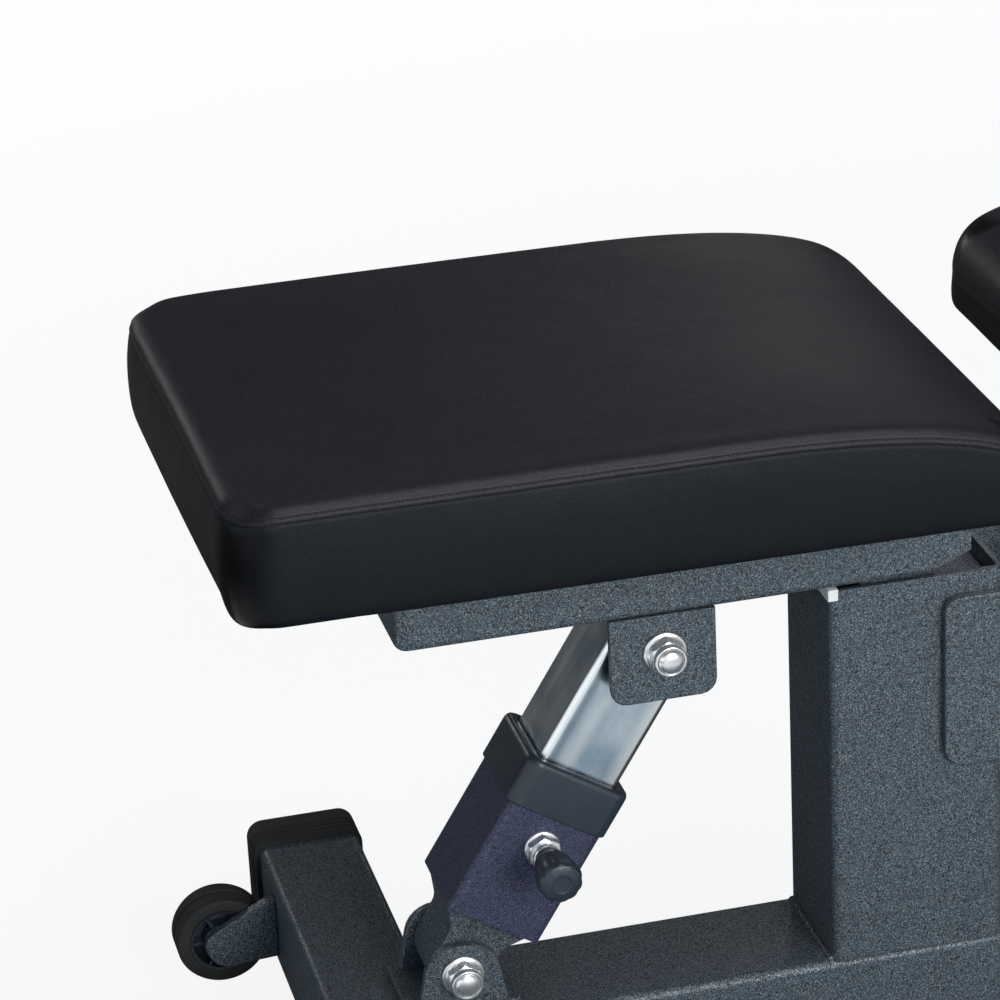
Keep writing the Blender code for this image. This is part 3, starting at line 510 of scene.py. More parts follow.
# %% Finished pieces
def applied(obj, modifier):
    """Makes the object's mesh what its modifier makes of it, and removes the modifier."""
    depsgraph = bpy.context.evaluated_depsgraph_get()
    result = bpy.data.meshes.new_from_object(obj.evaluated_get(depsgraph))
    obj.modifiers.remove(modifier)
    obj.data = result
    return result


def body_named(node):
    return NODES[node]["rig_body"]


def show(obj, material, slot, *nodes, body=None):
    """Gives a finished piece its material and its body, and hides the nodes it stands for.
    The slot is not used.
    """
    if material is not None:
        obj.data.materials.clear()
        obj.data.materials.append(material)
    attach(obj, body or body_named(nodes[0]))
    if nodes:
        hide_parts(*nodes)
    return obj


def softened(node, suffix, edge):
    """A merged copy of a CAD node with its edges rounded by a small bevel."""
    mesh = NODES[node].data.copy()
    mesh.materials.clear()
    with opened(mesh) as shape:
        bmesh.ops.remove_doubles(shape, verts=shape.verts, dist=1e-5)
        bmesh.ops.dissolve_limit(shape, angle_limit=math.radians(0.6), verts=shape.verts,
                                 edges=shape.edges)
    shaded(mesh)
    obj = linked(node + suffix, mesh)
    bevel = obj.modifiers.new("soft_edges", "BEVEL")
    bevel.width = edge
    bevel.segments = 2
    bevel.limit_method = "ANGLE"
    bevel.angle_limit = SMOOTH_ANGLE
    obj.modifiers.new("flat_faces", "WEIGHTED_NORMAL").keep_sharp = True
    return obj


# %% [markdown]
# ## Steel frame
# Tubes and plates keep their CAD shapes. One loop makes the softened copies and gives each its
# coat. Chamfered plates take a finer bevel than sawn tubes.

# %% Coated tubes and plates
TUBE_EDGE = 0.7 * MM
PLATE_EDGE = 0.25 * MM
HAMMERTONE_TUBES = ("seat_beam", "back_beam", "main_post", "base_rail", "front_stabiliser",
                    "rear_stabiliser")
HAMMERTONE_PLATES = ("strut_bracket_left", "strut_bracket_right",
                     "seat_mount_front", "seat_mount_rear", "back_mount_front",
                     "back_mount_rear", "hinge_yoke", "post_gusset", "head_plate_left",
                     "head_plate_right", "back_sector", "strut_clevis", "strut_foot_lug",
                     "wheel_bracket_left", "wheel_bracket_right")

for edge, nodes in ((TUBE_EDGE, HAMMERTONE_TUBES), (PLATE_EDGE, HAMMERTONE_PLATES)):
    for node in nodes:
        show(softened(node, "_coated", edge), HAMMERTONE, "hammertone_coat", node)

# The CAD leaves a hair of room between the beam and the ears welded to it. Here they touch.
BEAM_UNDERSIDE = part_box("seat_beam")[0][2]
for ear in ("strut_bracket_left_coated", "strut_bracket_right_coated"):
    for vertex in bpy.data.objects[ear].data.vertices:
        if vertex.co.z > BEAM_UNDERSIDE - 1.2 * MM:
            vertex.co.z = BEAM_UNDERSIDE + 0.2 * MM

# %% The beam's end
BEAM_HALF_WIDTH = 0.040
BEAM_HALF_HEIGHT = 0.035
END_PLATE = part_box("seat_beam_end")
END_DEPTH = 0.010


def tucked_in(obj, box, seam, tip, shrink):
    """Reshapes a tube's open left end so that it dives into a solid end block: the full section
    stops at the seam, and narrows from there to the tip."""
    middle = (box[0][2] + box[1][2]) / 2
    with opened(obj.data) as shape:
        for vertex in shape.verts:
            if vertex.co.x < box[1][0] + 2 * MM:
                vertex.co.x = tip
        bmesh.ops.bisect_plane(shape, geom=shape.verts[:] + shape.edges[:] + shape.faces[:],
                               plane_co=(seam, 0.0, 0.0), plane_no=(1.0, 0.0, 0.0))
        for vertex in shape.verts:
            if vertex.co.x < tip + 0.5 * MM:
                vertex.co.y *= 1.0 - shrink / BEAM_HALF_WIDTH
                vertex.co.z = middle + (vertex.co.z - middle) * (1.0 - shrink / BEAM_HALF_HEIGHT)
    obj.data.set_sharp_from_angle(angle=SMOOTH_ANGLE)


tucked_in(bpy.data.objects["seat_beam_coated"], END_PLATE,
          END_PLATE[0][0] + END_DEPTH - 1.2 * MM, END_PLATE[0][0] + 4 * MM, 1.5 * MM)

# %% Other steel, nylon and wood
for node, suffix, edge, material, slot in (
        ("strut_outer_tube", "_coated", TUBE_EDGE, DARK_COAT, "dark_speckled_coat"),
        ("strut_inner_tube", "_plated", PLATE_EDGE, ZINC_TUBE, "zinc_plate"),
        ("rest_pad_left", "_moulded", PLATE_EDGE, NYLON, "white_nylon"),
        ("rest_pad_right", "_moulded", PLATE_EDGE, NYLON, "white_nylon"),
        ("seat_board", "_plain", PLATE_EDGE, PLYWOOD, "plywood"),
        ("back_board", "_plain", PLATE_EDGE, PLYWOOD, "plywood")):
    show(softened(node, suffix, edge), material, slot, node)
print("coated pieces:", len(HAMMERTONE_TUBES) + len(HAMMERTONE_PLATES) + 1)

# %% [markdown]
# ## Pads
# Each pad is a wooden board, a block of foam and a cover sewn from two panels: a top, and a band
# that runs all the way round. The seam between them sits just under the rounded edge: a row of
# dark stitches with the joint a few millimetres below. The cover is pulled under the board and
# stapled there. It could be sculpted, but a cover is regular, so it is built from rings: one
# rounded outline for each height of a measured profile, and a woven grid for the top. The ends of
# the two pads that face each other roll down, slowly at first and then steeply.

# %% Pad measures
PAD_BOTTOM = 0.380
PAD_HEIGHT = 0.066
PAD_HALF = 0.155
PAD_CORNER = 0.028
ROLL_LENGTH = 0.163
ROLL_DROP = 0.050
BAND_HEIGHT = 0.050
CROWN = 0.0042
SHEAR_X = 0.0145
SHEAR_Y = 0.013
SHORT_STEPS = 50
ARC_HALF = 4
SEAT_ENDS, BACK_ENDS = [tuple(corner[0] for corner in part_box(pad))
                        for pad in ("seat_cushion", "back_cushion")]
print("pads from", [round(x, 3) for x in SEAT_ENDS + BACK_ENDS])

# %% [markdown]
# The profile lists, from the board's upper face round to the top panel, how far a ring is drawn
# in from the outline, its height over the board's underside, and how much further it is drawn
# in halfway along each side. Between them, two short dips make the joint and the row of stitches.

# %% Cover profile, in millimetres
RECESS = ((14.0, 12.4, 0.0), (7.7, 12.4, 0.0), (7.7, 10.5, 0.0), (7.7, 1.6, 0.0),
          (7.7, -0.15, 0.0), (10.0, -0.15, 0.0), (33.0, -0.15, 0.0), (35.6, -0.15, 0.0))
FOLD = ((36.2, -0.4, 0.0), (36.2, -1.0, 0.0), (35.4, -1.30, 0.0), (30.0, -1.30, 0.0),
        (22.0, -1.30, 0.0), (13.0, -1.30, 0.0), (9.2, -1.25, 0.0), (6.5, -0.8, -0.2),
        (4.6, 0.3, -0.4))
PANEL = ((3.2, 2.6, -0.6), (2.2, 5.8, -0.7), (1.4, 10.5, -0.8), (0.7, 17.0, -0.8),
         (0.2, 25.0, -0.6), (-0.2, 33.0, -0.3), (-0.3, 41.5, 0.0), (0.0, 48.5, 0.3),
         (0.3, 53.0, 0.6), (0.5, 55.4, 0.7), (0.7, 56.7, 0.7))
JOINT = ((1.35, 57.3, 0.7),)
LIP = ((0.7, 57.9, 0.7), (0.45, 58.6, 0.7), (0.5, 59.4, 0.7), (0.75, 60.1, 0.7))
STITCH_LINE = ((1.45, 60.6, 0.7),)
ROUND_EDGE = ((1.1, 61.2, 0.7), (1.3, 62.0, 0.7), (2.0, 63.0, 0.6), (3.2, 64.0, 0.5),
              (4.9, 64.9, 0.3), (7.0, 65.5, 0.1), (9.6, 65.9, 0.0), (13.0, 66.05, 0.0))
PROFILE = RECESS + FOLD + PANEL + JOINT + LIP + STITCH_LINE + ROUND_EDGE
PANEL_RING = len(RECESS + FOLD)
JOINT_RING = len(RECESS + FOLD + PANEL)
STITCH_RING = JOINT_RING + len(JOINT + LIP)
STAPLE_RING = len(RECESS) + 4
STUFFING_SEAM = (6.0, 60.5, 0.0)
STUFFING = ((16.0, 0.5, 0.0), (9.0, 0.5, 0.0), (5.0, 3.0, 0.0), (3.6, 8.0, 0.0), (3.6, 30.0, 0.0),
            (3.6, 50.0, 0.0), (4.0, 57.0, 0.0), STUFFING_SEAM, (9.5, 62.6, 0.0),
            (14.0, 63.0, 0.0))
print("rings in the cover:", len(PROFILE))


# %% Outline of a pad
def count_of(ends):
    """Steps along a pad's long side, about five millimetres each on the seat."""
    return 72 if ends[1] - ends[0] < 0.6 else 116


def pad_outline(ends, margin, steps):
    """Rows of x, y, outward x, outward y and share of the way from the corners, anticlockwise
    from the middle of the first corner."""
    radius = max(PAD_CORNER - margin, 0.005)
    reach = margin + radius
    x0, x1 = ends[0] + reach, ends[1] - reach
    side = PAD_HALF - reach
    corners = np.array([(x0, -side), (x1, -side), (x1, side), (x0, side)])
    rows = []
    for turn in range(4):
        start, stop = corners[turn], corners[(turn + 1) % 4]
        facing = math.radians(90 * turn - 90)
        count = steps[turn % 2]
        way = [(start, facing - math.pi / 4 * (1 - k / ARC_HALF), 0.0) for k in range(ARC_HALF)]
        way += [(start + (stop - start) * (k / count), facing, math.sin(math.pi * (k / count)))
                for k in range(count)]
        way += [(stop, facing + math.pi / 4 * k / ARC_HALF, 0.0) for k in range(ARC_HALF)]
        rows.extend((x + radius * math.cos(a), y + radius * math.sin(a), math.cos(a), math.sin(a),
                     share) for (x, y), a, share in way)
    return np.array(rows)


# %% Heights of a pad
def full_height(x, ends, rolled):
    """Height of the pad's edge over its underside, where one end rolls down."""
    start = rolled - ROLL_LENGTH if rolled == ends[1] else rolled + ROLL_LENGTH
    u = np.clip((x - start) / (rolled - start), 0.0, 0.999)
    return PAD_HEIGHT - ROLL_DROP * (1.0 - (1.0 - u ** 2.24) ** 0.3425)


def ring_height(height, x, ends, rolled):
    """The seam keeps its distance from the top, and the band under it takes up the difference."""
    tall = full_height(x, ends, rolled)
    low = height * (tall - (PAD_HEIGHT - BAND_HEIGHT)) / BAND_HEIGHT
    return np.where(height > BAND_HEIGHT, tall - (PAD_HEIGHT - height),
                    np.where(height > 0, low, height))


def plain_crown(x, y, ends):
    """Rise of the stuffed top over its edge, as in the CAD model."""
    along = (2.0 * x - ends[0] - ends[1]) / (ends[1] - ends[0])
    return CROWN * np.clip(1.0 - (y / PAD_HALF) ** 2, 0, 1) * np.clip(1.0 - along ** 4, 0, 1)


# %% Build the rings and the top grid
def pad_shape(ends, rolled, profile, steps, crown):
    """Points and faces of a pad. Returns them with the index of each ring's first point."""
    points = []
    for margin, height, drawn in profile:
        rows = pad_outline(ends, margin * MM, steps)
        x = rows[:, 0] - rows[:, 2] * rows[:, 4] * drawn * MM
        y = rows[:, 1] - rows[:, 3] * rows[:, 4] * drawn * MM
        z = PAD_BOTTOM + ring_height(np.full(len(x), height * MM), x, ends, rolled)
        if height > 60.0:
            z = z + crown(x, y)
        points.append(np.stack([x, y, z], axis=1))
    count = len(points[0])
    starts = [count * i for i in range(len(profile))]
    faces = [face for start in starts[:-1] for face in between(start, start + count, count)]
    top, top_faces = top_grid(points[-1], starts[-1], steps, ends, rolled, crown)
    return np.vstack(points + [top]), faces + top_faces, starts


def top_grid(rim, first, steps, ends, rolled, crown):
    """Fills the last ring with a grid whose lines run from side to side."""
    across, along = steps[0] + 2 * ARC_HALF, steps[1] + 2 * ARC_HALF
    count = len(rim)
    index = np.zeros((across + 1, along + 1), dtype=int)
    index[:, 0] = np.arange(across + 1)
    index[across, :] = across + np.arange(along + 1)
    index[:, along] = across + along + np.arange(across, -1, -1)
    index[0, :] = (count - np.arange(along + 1)) % count
    u = (np.arange(across + 1) / across)[:, None, None]
    v = (np.arange(along + 1) / along)[None, :, None]
    low, high = rim[index[:, 0]][:, None], rim[index[:, along]][:, None]
    left, right = rim[index[0, :]][None], rim[index[across, :]][None]
    grid = ((1 - v) * low + v * high + (1 - u) * left + u * right
            - (1 - u) * (1 - v) * rim[index[0, 0]] - u * (1 - v) * rim[index[across, 0]]
            - u * v * rim[index[across, along]] - (1 - u) * v * rim[index[0, along]])
    inner = grid[1:-1, 1:-1].reshape(-1, 3)
    inner[:, 2] = (PAD_BOTTOM + full_height(inner[:, 0], ends, rolled)
                   + crown(inner[:, 0], inner[:, 1]))
    index = index + first
    index[1:-1, 1:-1] = first + count + np.arange(len(inner)).reshape(across - 1, along - 1)
    faces = [(index[i, j], index[i + 1, j], index[i + 1, j + 1], index[i, j + 1])
             for i in range(across) for j in range(along)]
    return inner, [tuple(int(k) for k in face) for face in faces]


def close_underneath(mesh, material_index):
    """Fills the open ring over the board with one flat face."""
    with opened(mesh) as shape:
        rim = [edge for edge in shape.edges if edge.is_boundary]
        for face in bmesh.ops.holes_fill(shape, edges=rim, sides=0)["faces"]:
            face.material_index = material_index
        bmesh.ops.recalc_face_normals(shape, faces=shape.faces)


# %% [markdown]
# ## Stuffing by cloth simulation
# Foam pushes the cover out most where it is furthest from a seam. Cloth simulation finds that
# shape: a slightly smaller, evenly meshed copy of the pad is pinned at the board and held at the
# seam, and pressure blows it up for twenty frames. The copy is too coarse for seams, so only its
# swelling is kept: every point of the fine cover looks up how far the nearest simulated points
# went, and no further than the cap.

# %% Cloth settings
SWELL_CAP = 0.010
SWELL_SHARE = 0.3
FRAMES = 20
CLOTH = {"quality": 5, "mass": 0.3, "tension_stiffness": 12, "compression_stiffness": 12,
         "shear_stiffness": 4, "bending_stiffness": 0.6, "vertex_group_mass": "held",
         "pin_stiffness": 1.0, "use_pressure": True, "uniform_pressure_force": 4.0}


def nearby(points):
    tree = kdtree.KDTree(len(points))
    for i, point in enumerate(points):
        tree.insert(point, i)
    tree.balance()
    return tree


def places_of(mesh):
    return np.array([v.co[:] for v in mesh.vertices])


# %% Simulate the swelling
def simulated_swelling(word, ends, rolled, steps, voxel):
    """Positions before the simulation, and the movement of each during it."""
    points, faces, starts = pad_shape(ends, rolled, STUFFING, steps, lambda x, y: 0.0 * x)
    mesh = mesh_from(word + "_stuffing", points, faces)
    close_underneath(mesh, 0)
    stuffing = linked(word + "_stuffing", mesh)
    remesh = stuffing.modifiers.new("even", "REMESH")
    remesh.mode = "VOXEL"
    remesh.voxel_size = voxel
    before = places_of(applied(stuffing, remesh))
    ring = starts[STUFFING.index(STUFFING_SEAM)]
    seam = nearby(points[ring:ring + starts[1]])
    held = stuffing.vertex_groups.new(name="held")
    for i, place in enumerate(before):
        if place[2] < PAD_BOTTOM + 0.013:
            held.add([i], 1.0, "REPLACE")
        elif seam.find(place)[2] < 0.0045:
            held.add([i], 0.6, "REPLACE")
    cloth = stuffing.modifiers.new("pressure", "CLOTH")
    for setting, value in CLOTH.items():
        setattr(cloth.settings, setting, value)
    cloth.settings.effector_weights.gravity = 0.0
    cloth.point_cache.frame_start = 1
    cloth.point_cache.frame_end = FRAMES
    for number in range(1, FRAMES + 1):
        SCENE.frame_set(number)
    depsgraph = bpy.context.evaluated_depsgraph_get()
    moved = places_of(stuffing.evaluated_get(depsgraph).to_mesh()) - before
    SCENE.frame_set(1)
    bpy.data.objects.remove(stuffing)
    length = np.linalg.norm(moved, axis=1)
    moved *= np.minimum(1.0, SWELL_CAP / np.maximum(length, 1e-9))[:, None]
    print(word, "stuffing points:", len(before), "largest movement, mm:",
          round(float(length.max()) * 1000, 2))
    return before, moved


def lookup(before, moved):
    """A function that gives the simulated movement near any point."""
    tree = nearby(before)

    def near(place):
        found = tree.find_n(place, 8)
        weights = np.array([1.0 / (distance + 0.002) for _, _, distance in found])
        parts = np.array([moved[i] for _, i, _ in found])
        return (parts * weights[:, None]).sum(axis=0) / weights.sum()
    return near


# %% [markdown]
# ## Finish the covers
# The foam under the top is firm, so the swelling gives only a part of the crown and the rest is
# the plain curve of the CAD model. The swelling also moves the side band a little. Then come the
# marks of sewing: shallow puckers along the seam, a slow wobble of the band, and a small pinch
# where the top panel is eased round a corner. Last, the cover is pulled a few millimetres out of
# square, as the picture shows: covers are stretched on by hand.

# %% Swelling
PANEL_HEIGHT = 0.056
SIDE_SWELL = 0.35
SIDE_SWELL_CAP = 1.2 * MM


def swollen(points, rings, near):
    """Adds the simulated swelling to the top and a little of it to the side panel."""
    movement = np.array([near(p) for p in points])
    top, side = slice(rings[-1], None), slice(rings[PANEL_RING], rings[JOINT_RING])
    rise = movement[top, 2]
    gain = CROWN / max(float(np.percentile(rise, 99)), 1e-4)
    shares = np.sin(np.pi * np.clip((points[side, 2] - PAD_BOTTOM) / PANEL_HEIGHT, 0, 1))
    moved = points.copy()
    moved[top, 2] += np.clip(rise * gain, 0, CROWN * 1.15) * SWELL_SHARE
    moved[side, :2] += shares[:, None] * np.clip(movement[side, :2] * gain * SIDE_SWELL,
                                                 -SIDE_SWELL_CAP, SIDE_SWELL_CAP)
    return moved


# %% Puckers and pinches
SEAM_HEIGHT = 58.5
PUCKER = 0.45 * MM
WOBBLE = 0.9 * MM
PINCHES = (4.6 * MM, 0.8 * MM)
PINCH_HEIGHT = 0.0632
PINCH_REACH = 9.5 * MM


def sewn(points, ends, rolled, rings):
    """Adds the marks of sewing: puckers, a wobble, and a pinch at the two square corners."""
    moved = points.copy()
    for (margin, height, _), start in list(zip(PROFILE, rings))[PANEL_RING:]:
        out = pad_outline(ends, margin * MM, (count_of(ends), SHORT_STEPS))[:, 2:4]
        pucker = PUCKER * math.exp(-abs(height - SEAM_HEIGHT) / 6.5)
        wobble = WOBBLE * math.sin(math.pi * min(height / 57.0, 1.0))
        for i in range(rings[1]):
            x, y, z = moved[start + i]
            push = pucker * noise.noise(Vector((x * 62, y * 62, 3.1)))
            push += wobble * noise.noise(Vector((x * 13, y * 13, z * 24 + 7.7)))
            moved[start + i, :2] += out[i] * push
    for corner, deep in zip(corner_points(ends, rolled), PINCHES):
        depth = moved[:, 2] - (PAD_BOTTOM + PINCH_HEIGHT)
        pinch = around(moved, corner, PINCH_REACH) * np.exp(-(depth / 0.0042) ** 2) * deep
        moved[:, :2] += towards_middle(moved, ends) * pinch[:, None]
        moved[:, 2] -= pinch * 0.7
    return moved


# %% Corners of a pad
def around(points, corner, reach):
    """1 at an upright line through the corner, and falling to 0 away from it."""
    gap = np.hypot(points[:, 0] - corner[0], points[:, 1] - corner[1])
    return np.exp(-(gap / reach) ** 2)


def towards_middle(points, ends):
    """Level unit vectors from each point to the pad's middle."""
    run = np.array([(ends[0] + ends[1]) / 2, 0.0]) - points[:, :2]
    return run / np.maximum(np.linalg.norm(run, axis=1), 1e-6)[:, None]


def corner_points(ends, rolled):
    """Outermost points of the near and the far corner at the square end."""
    square = ends[0] if rolled == ends[1] else ends[1]
    inward = 1.0 if square == ends[0] else -1.0
    off = PAD_CORNER * (1.0 - math.sqrt(0.5)) + 1.5 * MM
    return [(square + inward * off, side * (PAD_HALF - off)) for side in (-1.0, 1.0)]


# %% Out of square
END_FULLNESS = 2 * MM
CORNER_PULL = 5.5 * MM
NEAR_LIFT = 1.4 * MM
FAR_LIFT = 1.2 * MM


def out_of_square(points, ends, rolled, rings):
    """The pull of the upholsterer's hands: a little shear, a fuller square end, a rounder far
    corner and a bottom edge that lifts by the near corner. The board's recess stays square."""
    count = rings[1]
    free = np.ones(len(points))
    for k, (margin, _, _) in enumerate(PROFILE[:PANEL_RING]):
        free[rings[k]:rings[k] + count] = 0.0 if k < len(RECESS) else \
            float(np.clip((34.0 - margin) / 28.0, 0, 1))
    side = -1.0 if rolled == ends[1] else 1.0
    square = ends[0] if side < 0 else ends[1]
    x = points[:, 0] - (ends[0] + ends[1]) / 2
    y = points[:, 1]
    level = np.clip((points[:, 2] - PAD_BOTTOM) / 0.060, 0, 1)
    moved = points.copy()
    moved[:, 0] -= SHEAR_X * y * free
    moved[:, 1] += (0.5 * MM - SHEAR_Y * x) * free
    near_end = np.clip((side * (points[:, 0] - square) + 0.10) / 0.08, 0, 1)
    moved[:, 0] += side * END_FULLNESS * near_end * np.sin(np.pi * level) * free
    near, far = corner_points(ends, rolled)
    round_off = CORNER_PULL * around(points, far, 0.024) * level * free
    round_off -= CORNER_PULL * around(points, near, 0.016) * (1 - 0.8 * level) * free
    moved[:, :2] += towards_middle(points, ends) * round_off[:, None]
    moved[:, 2] += NEAR_LIFT * around(points, near, 0.050) * (1 - level) ** 3 * free
    far_side = np.clip(y / PAD_HALF, 0, 1)
    along = np.clip((points[:, 0] - ends[0]) / (ends[1] - ends[0]), 0, 1)
    moved[:, 2] += FAR_LIFT * far_side ** 3 * np.sin(np.pi * along) * level * free
    return moved


def corner_shares(points, ends):
    """How far each point lies round a vertical corner: 1 halfway round it, 0 on the sides."""
    middle, half = (ends[0] + ends[1]) / 2, (ends[1] - ends[0]) / 2
    x = points[:, 0] + SHEAR_X * points[:, 1]
    y = points[:, 1] + SHEAR_Y * (points[:, 0] - middle)
    inner_x = np.clip(np.abs(x - middle) - half + PAD_CORNER, 0, None)
    inner_y = np.clip(np.abs(y) - PAD_HALF + PAD_CORNER, 0, None)
    return np.sin(2 * np.arctan2(inner_y, np.maximum(inner_x, 1e-6))) ** 0.8


# %% Make the covers
def make_cover(word, ends, rolled, voxel):
    """The finished cover, and the lines of its stitches and its staples."""
    steps = (count_of(ends), SHORT_STEPS)
    near, share = None, 1.0
    near = lookup(*simulated_swelling(word, ends, rolled, steps, voxel))
    share = 1.0 - SWELL_SHARE
    points, faces, rings = pad_shape(ends, rolled, PROFILE, steps,
                                     lambda x, y: plain_crown(x, y, ends) * share)
    if near is not None:
        points = swollen(points, rings, near)
    points = out_of_square(sewn(points, ends, rolled, rings), ends, rolled, rings)
    mesh = mesh_from(word + "_cover", points, faces)
    mesh.materials.append(VINYL_TOP)
    mesh.materials.append(VINYL_SIDE_SHADED)
    side_faces = JOINT_RING * rings[1]
    mesh.polygons.foreach_set("material_index",
                              [1 if i < side_faces else 0 for i in range(len(faces))])
    cover = linked(word + "_cover", mesh)
    smooth = cover.modifiers.new("smooth", "SUBSURF")
    smooth.levels = smooth.render_levels = 1
    fine = applied(cover, smooth)
    close_underneath(fine, 1)
    places = places_of(fine)
    # The corner attribute marks where the side band gets painted shade and a smoother finish.
    below = np.clip((PAD_BOTTOM + 0.057 - places[:, 2]) / 0.004, 0, 1)
    corner_mask = fine.attributes.new("corner", "FLOAT", "POINT")
    corner_mask.data.foreach_set("value", np.clip(corner_shares(places, ends), 0, 1) * below)
    fine.shade_smooth()
    print(word, "cover triangles:", sum(len(p.vertices) - 2 for p in fine.polygons))
    return cover, [[fine.vertices[rings[k] + i].co.copy() for i in range(rings[1])]
                   for k in (STITCH_RING, STAPLE_RING)]


seat_cover, seat_lines = make_cover("seat", SEAT_ENDS, SEAT_ENDS[1], 0.0055)
back_cover, back_lines = make_cover("back", BACK_ENDS, BACK_ENDS[0], 0.0060)
for word, cover in (("seat", seat_cover), ("back", back_cover)):
    show(cover, None, "black_vinyl", word + "_cushion")


# %% [markdown]
# ## Things in a row
# Stitches, staples and weld beads all repeat along a path. One Geometry Nodes tree serves them
# all: it turns the path into a curve, cuts it into even steps and sets a small shape on each,
# turned to follow the path. A second tree sets a shape on single points, for the pad bolts. The
# result is made into a plain mesh, because instances are lost when the model leaves Blender.

# %% Trees that repeat a shape
def repeating_tree(name, sockets, arrange):
    """A tree that sets a shape on points. What arrange returns feeds Instance on Points."""
    tree = bpy.data.node_groups.new(name, "GeometryNodeTree")
    for word, kind in {**sockets, "Shape": "Object", "Material": "Material"}.items():
        tree.interface.new_socket(word, in_out="INPUT", socket_type="NodeSocket" + kind)
    tree.interface.new_socket("Geometry", in_out="OUTPUT", socket_type="NodeSocketGeometry")
    given = tree.nodes.new("NodeGroupInput").outputs
    shape = wired(tree, "GeometryNodeObjectInfo", {"Object": given["Shape"], "As Instance": True},
                  "Geometry")
    instances = wired(tree, "GeometryNodeInstanceOnPoints",
                      {"Instance": shape, **arrange(tree, given)})
    real = wired(tree, "GeometryNodeRealizeInstances", {"Geometry": instances})
    painted = wired(tree, "GeometryNodeSetMaterial",
                    {"Geometry": real, "Material": given["Material"]})
    feed(tree, tree.nodes.new("NodeGroupOutput"), {"Geometry": painted})
    print("tree:", name)
    return tree


def random_number(tree, seed, low, high):
    """A number for each point. The inputs are numbered, as several share a name."""
    return wired(tree, "FunctionNodeRandomValue", {2: low, 3: high, "Seed": seed}, 1,
                 data_type="FLOAT")


def along_curve(tree, given):
    curve = wired(tree, "GeometryNodeMeshToCurve", {"Mesh": given["Path"]})
    steps = wired(tree, "GeometryNodeResampleCurve",
                  {"Curve": curve, "Length": given["Spacing"]}, mode="LENGTH")
    facing = wired(tree, "FunctionNodeAxesToRotation",
                   {"Primary Axis": wired(tree, "GeometryNodeInputTangent"),
                    "Secondary Axis": (0.0, 0.0, 1.0)}, primary_axis="X", secondary_axis="Z")
    smallest = joined(tree, "SUBTRACT", 1.0, given["Unevenness"])
    return {"Points": steps, "Rotation": facing, "Scale": random_number(tree, 7, smallest, 1.0)}


def turned_at_points(tree, given):
    turn = wired(tree, "ShaderNodeCombineXYZ",
                 {"Z": random_number(tree, 3, 0.0, given["Turn Range"])})
    return {"Points": given["Points"], "Rotation": turn}


ROW_TREE = repeating_tree("row_along_path", {"Path": "Geometry", "Spacing": "Float",
                                             "Unevenness": "Float"}, along_curve)
POINT_TREE = repeating_tree("shape_on_points", {"Points": "Geometry", "Turn Range": "Float"},
                            turned_at_points)


# %% Run the trees
def baked(name, mesh, tree, **values):
    """Runs a tree on a mesh with the given inputs, and keeps the result as a plain mesh."""
    holder = linked(name, mesh)
    modifier = holder.modifiers.new("grown", "NODES")
    modifier.node_group = tree
    for item in tree.interface.items_tree:
        if item.item_type == "SOCKET" and item.in_out == "INPUT" and item.name in values:
            modifier[item.identifier] = values[item.name]
    applied(holder, modifier).shade_smooth()
    print(name, "faces:", len(holder.data.polygons))
    return holder


def along_paths(name, paths, shape, spacing, material, unevenness=0.0):
    """A shape along several paths. A path is a list of points and whether it closes."""
    vertices, edges = [], []
    for points, closed in paths:
        first = len(vertices)
        vertices.extend(points)
        edges.extend((first + i, first + i + 1) for i in range(len(points) - 1))
        if closed:
            edges.append((len(vertices) - 1, first))
    return baked(name, mesh_from(name, vertices, [], edges), ROW_TREE, Shape=shape,
                 Spacing=spacing, Unevenness=unevenness, Material=material)


# %% Small shapes to repeat
def loose(obj):
    """A shape that is only there to be repeated. It is smooth all over."""
    obj.data.set_sharp_from_angle(angle=math.pi)
    SCENE.collection.objects.unlink(obj)
    return obj


def bead(name, length, width, height, count, rings, power):
    """A closed rounded grain along X, for stitches and weld ripples. Sizes in millimetres."""
    skin = []
    for k in range(rings + 1):
        t = -1.0 + 2.0 * k / rings
        size = (1.0 - t * t) ** power
        skin.append([(t * length / 2 * MM, width / 2 * MM * size * math.cos(a),
                      height / 2 * MM * size * math.sin(a)) for a in turns(count)])
    return loose(lofted(name, skin, "flat"))


def wire_staple():
    """The visible back of a staple: a flat wire whose ends turn into the board."""
    width, wire = 5.0, 0.35
    spine = [(-width, 1.2), (-width, -0.10), (-width + 0.3, -0.35), (width - 0.3, -0.35),
             (width, -0.10), (width, 1.2)]
    skin = []
    for i, (x, z) in enumerate(spine):
        before, after = spine[max(i - 1, 0)], spine[min(i + 1, len(spine) - 1)]
        run = Vector((after[0] - before[0], after[1] - before[1])).normalized()
        skin.append([Vector((x - run.y * wire * w, v, z + run.x * wire * w)) * MM
                     for v, w in ((-0.6, -1), (0.6, -1), (0.6, 1), (-0.6, 1))])
    return loose(lofted("wire_staple", skin, "flat"))


# %% [markdown]
# The stitches lie in the dip of their line, three and a half millimetres long with short gaps
# between them. The staples hold the fold to the underside of the board.

# %% Stitches and staples
STITCH = bead("stitch", 3.5, 0.85, 0.85, count=6, rings=5, power=0.35)
STAPLE = wire_staple()
for word, (stitch_line, staple_line) in (("seat", seat_lines), ("back", back_lines)):
    seam = along_paths(word + "_stitches", [(stitch_line, True)], STITCH, 4.2 * MM, THREAD)
    show(seam, None, "black_vinyl", body=word)
    row = along_paths(word + "_staples", [(staple_line, True)], STAPLE, 27 * MM, ZINC_PART)
    show(row, None, "zinc_plate", body=word)

